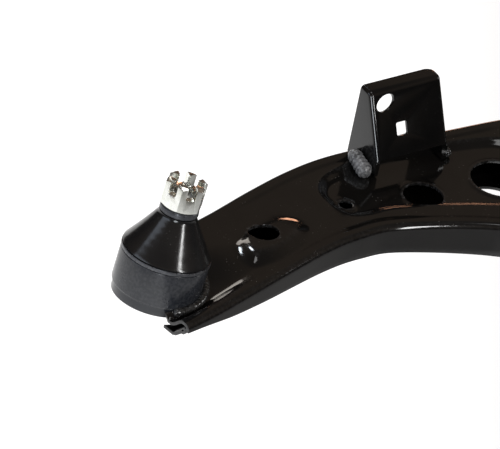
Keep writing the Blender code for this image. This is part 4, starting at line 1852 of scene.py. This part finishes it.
@dataclass
class Bush:
    """One bush: tube, can, rubber and sleeve, one inside the other."""

    label: str
    y: float
    x: float = 325.0
    z: float = -13.0
    tube_radius: float = 23.0
    tube_wall: float = 3.0
    tube_length: float = 50.0
    can_wall: float = 1.8
    sleeve_radius: float = 10.5
    bolt_radius: float = 7.1
    sleeve_length: float = 58.0

    def place(self) -> Matrix:
        """Lays a piece turned about Z along Y, on the bushes' line."""
        return Matrix.Translation((self.x, self.y, self.z)) @ Matrix.Rotation(math.radians(-90), 4, "X")

    def ring(self, outer: float, inner: float, half: float) -> Profile:
        """Profile of a plain ring, between two radii and half its length each way."""
        return [(inner, -half), (outer, -half), (outer, half), (inner, half)]

    def build(self) -> None:
        """Makes the bush's five pieces."""
        half = self.tube_length / 2
        wall = self.ring(self.tube_radius, self.tube_radius - self.tube_wall, half)
        tube = lathe(f"{self.label}_housing_tube", wall, 96, self.place(), 0.6)
        dressed(tube, ARM_PAINT, "arm", f"{self.label}_tube")
        can_radius = self.tube_radius - self.tube_wall - GAP
        wall = self.ring(can_radius, can_radius - self.can_wall, half - 1.0)
        can = lathe(f"{self.label}_outer_can", wall, 96, self.place(), 0.35)
        dressed(can, BUSH_STEEL, "arm", f"{self.label}_can")
        self.rubber(can_radius - self.can_wall - GAP, half)
        self.sleeve()
        self.weld()

    def rubber(self, outer: float, half: float) -> None:
        """The bonded rubber, hollowed between sleeve and can, with a bead at each bond.

        Args:
            outer: Outer radius.
            half: Half of the tube's length.
        """
        bore = self.sleeve_radius + GAP
        face = [
            (bore, 0.6), (bore + 1.2, 0.4), (bore + 2.2, 1.4), (bore + 3.6, 3.8), (outer - 2.6, 4.6),
            (outer - 1.0, 3.4), (outer, 3.0),
        ]
        profile = [(r, -half + d) for r, d in face] + [(r, half - d) for r, d in face[::-1]]
        piece = lathe(f"{self.label}_bonded_rubber", profile, 96, self.place(), 0.3)
        dressed(piece, BUSH_RUBBER, "arm", f"{self.label}_rubber")

    def sleeve(self) -> None:
        """The inner sleeve, with teeth pressed into its end faces."""
        half = self.sleeve_length / 2
        wall = self.sleeve_radius - self.bolt_radius
        middle = (self.sleeve_radius + self.bolt_radius) / 2
        steps = 72  # twice the number of teeth
        shape = self.ring(self.sleeve_radius, self.bolt_radius, half)
        sleeve = lathe(f"{self.label}_inner_sleeve", shape, steps, None, 0.45)

        def between_teeth(centre: Vector, face: bmesh.types.BMFace) -> bool:
            """Picks every second face round the sleeve's ends.

            Args:
                centre: The face's middle in millimetres.
                face: The face.

            Returns:
                Whether it is one of those pressed in.
            """
            on_end = abs(face.normal.z) > 0.95 and abs(math.hypot(centre.x, centre.y) - middle) < wall * 0.3
            turn = (math.atan2(centre.y, centre.x) + math.pi) / math.tau
            return on_end and int(turn * steps) % 2 == 0

        with editing(sleeve):
            choose(sleeve, Element.FACE, between_teeth)
            bpy.ops.mesh.inset(thickness=0.08 * MM, depth=-0.4 * MM, use_individual=True)
        settle(sleeve, self.place(), 30)
        dressed(sleeve, ZINC, self.label.replace("bush", "sleeve"), f"{self.label}_sleeve")

    def weld(self) -> None:
        """The bead where the shell's top meets the tube."""
        radius = 1.6
        rise = radius + 0.1
        reach = math.sqrt((self.tube_radius + GAP + radius) ** 2 - (rise - self.z) ** 2)
        half = self.tube_length / 2 - 5
        route = [Vector((self.x - reach - 0.2, self.y - half + 2 * half * i / 6, rise)) for i in range(7)]
        bead = weld_bead(f"{self.label}_bead", route, radius + 0.3, seed=len(self.label))
        dressed(bead, WELD_PAINT, "arm", f"{self.label}_weld")


# Stage


@dataclass
class Studio:
    """Floor, soft lights and the camera."""

    floor_height: float = -460.0
    floor_glow: float = 1.0
    floor_dim: float = 0.12
    dark_bearing: float = -42.0  # the side on which the floor's light falls off
    falloff: Pair = (0.2, 0.5)  # metres from the arm at which it starts and ends
    view_right: Vector = field(default_factory=lambda: Vector((0.742, -0.647, 0.170)))
    view_up: Vector = field(default_factory=lambda: Vector((0.278, 0.530, 0.801)))
    target: Pair = (50.96, 28.28)  # along the view's right and up, from the ball's centre
    span: float = 280.0  # millimetres across the frame
    distance: float = 9500.0
    sensor: float = 36.0
    lit: Vector = field(default_factory=lambda: Vector((0.12, 0, 0)))  # metres: what the lamps face
    lamp_distance: float = 2.0  # metres

    def camera(self) -> None:
        """Places the camera."""
        right = self.view_right.normalized()
        back = right.cross(self.view_up).normalized()
        up = back.cross(right)
        data = bpy.data.cameras.new("camera")
        data.sensor_width = self.sensor
        data.lens = self.sensor * self.distance / self.span
        data.clip_end = 100
        made = bpy.data.objects.new("camera", data)
        bpy.context.scene.collection.objects.link(made)
        place = Matrix((right, up, back)).transposed().to_4x4()
        place.translation = (right * self.target[0] + up * self.target[1] + back * self.distance) * MM
        made.matrix_world = place
        bpy.context.scene.camera = made

    def floor(self) -> None:
        """A wide pale floor under the arm."""
        bpy.ops.object.select_all(action="DESELECT")
        bpy.ops.mesh.primitive_plane_add(size=12, location=(0, 0, self.floor_height * MM))
        floor = bpy.context.object
        floor.name = "floor"
        made = bpy.data.materials.new("floor")
        made.use_nodes = True
        shader = made.node_tree.nodes["Principled BSDF"]
        shader.inputs["Base Color"].default_value = (0.35, 0.35, 0.35, 1)
        shader.inputs["Roughness"].default_value = 0.9
        shader.inputs["Specular IOR Level"].default_value = 0.0
        shader.inputs["Emission Color"].default_value = (1, 1, 1, 1)
        desk = Desk(made.node_tree)
        turned = desk.add("ShaderNodeVectorRotate", rotation_type="Z_AXIS")
        turned.inputs["Angle"].default_value = math.radians(-self.dark_bearing)
        desk.join(desk.add("ShaderNodeTexCoord").outputs["Object"], turned.inputs["Vector"])
        split = desk.add("ShaderNodeSeparateXYZ")
        desk.join(turned.outputs["Vector"], split.inputs[0])
        glow = desk.span(split.outputs["X"], *self.falloff, self.floor_glow, self.floor_dim)
        desk.join(glow, shader.inputs["Emission Strength"])
        floor.data.materials.append(made)

    def lamp(
        self, name: str, bearing: float, rise: float, size: Pair, power: float, colour: Colour = (1, 1, 1)
    ) -> None:
        """A soft light that faces the arm.

        Args:
            name: Name of the light.
            bearing: Direction from the arm, in degrees from +X towards +Y.
            rise: Degrees above the floor.
            size: Width and height in metres.
            power: Watts.
            colour: Colour of the light.
        """
        data = bpy.data.lights.new(name, "AREA")
        data.shape = "RECTANGLE"
        data.size, data.size_y = size
        data.energy = power
        data.color = colour
        made = bpy.data.objects.new(name, data)
        bpy.context.scene.collection.objects.link(made)
        a, b = math.radians(bearing), math.radians(rise)
        way = Vector((math.cos(a) * math.cos(b), math.sin(a) * math.cos(b), math.sin(b)))
        made.location = self.lit + way * self.lamp_distance
        made.rotation_euler = way.to_track_quat("Z", "Y").to_euler()

    def surroundings(self) -> None:
        """A dim warm room above the floor, lighter at the horizon."""
        world = bpy.data.worlds.new("room")
        bpy.context.scene.world = world
        world.use_nodes = True
        desk = Desk(world.node_tree)
        split = desk.add("ShaderNodeSeparateXYZ")
        desk.join(desk.add("ShaderNodeTexCoord").outputs["Generated"], split.inputs[0])
        shade = desk.add("ShaderNodeValToRGB")
        stops = (
            (0.0, (0.05, 0.035, 0.03)), (0.1, (0.015, 0.013, 0.012)), (0.2, (0.03, 0.024, 0.02)),
            (0.45, (0.15, 0.115, 0.09)), (0.62, (0.2, 0.155, 0.12)), (0.85, (0.1, 0.085, 0.075)),
        )
        shade.color_ramp.elements[0].position = stops[0][0]
        shade.color_ramp.elements[0].color = (*stops[0][1], 1)
        shade.color_ramp.elements[1].position = stops[-1][0]
        shade.color_ramp.elements[1].color = (*stops[-1][1], 1)
        for position, colour in stops[1:-1]:
            shade.color_ramp.elements.new(position).color = (*colour, 1)
        desk.join(split.outputs["Z"], shade.inputs["Fac"])
        desk.join(shade.outputs["Color"], world.node_tree.nodes["Background"].inputs["Color"])

    def build(self) -> None:
        """Sets up the whole stage."""
        bpy.context.scene.view_settings.view_transform = "Standard"
        self.camera()
        self.floor()
        self.surroundings()
        self.lamp("overhead", -60, 86, (0.5, 0.9), 5)
        self.lamp("strip", -88, 27, (0.2, 0.9), 14)
        self.lamp("window", 79, 47, (0.22, 0.24), 5, (0.85, 0.93, 1.0))
        self.lamp("door", 69, 27, (0.4, 0.7), 3.5, (1.0, 0.93, 0.85))
        self.lamp("front_low", -140, 11, (0.5, 0.55), 11, (0.9, 0.95, 1.0))
        self.lamp("side", -24, 20, (0.5, 0.25), 4)
        self.lamp("back_wall", 40, 1.5, (0.62, 0.2), 2.2, (1.0, 0.5, 0.3))
        self.lamp("left_side", 164, 24, (1.5, 0.9), 8, (0.75, 0.85, 1.0))


def main() -> None:
    """Builds the arm round its frame and sets up the stage."""
    logging.basicConfig(level=logging.INFO, format="%(message)s")
    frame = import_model()
    Studio().build()
    shells = Shells()
    shells.build()
    Bracket().build()
    BallJoint(shells).build(frame)
    for label, y in (("front_bush", -9.0), ("rear_bush", -189.0)):
        Bush(label, y).build()


if __name__ == "__main__":
    main()
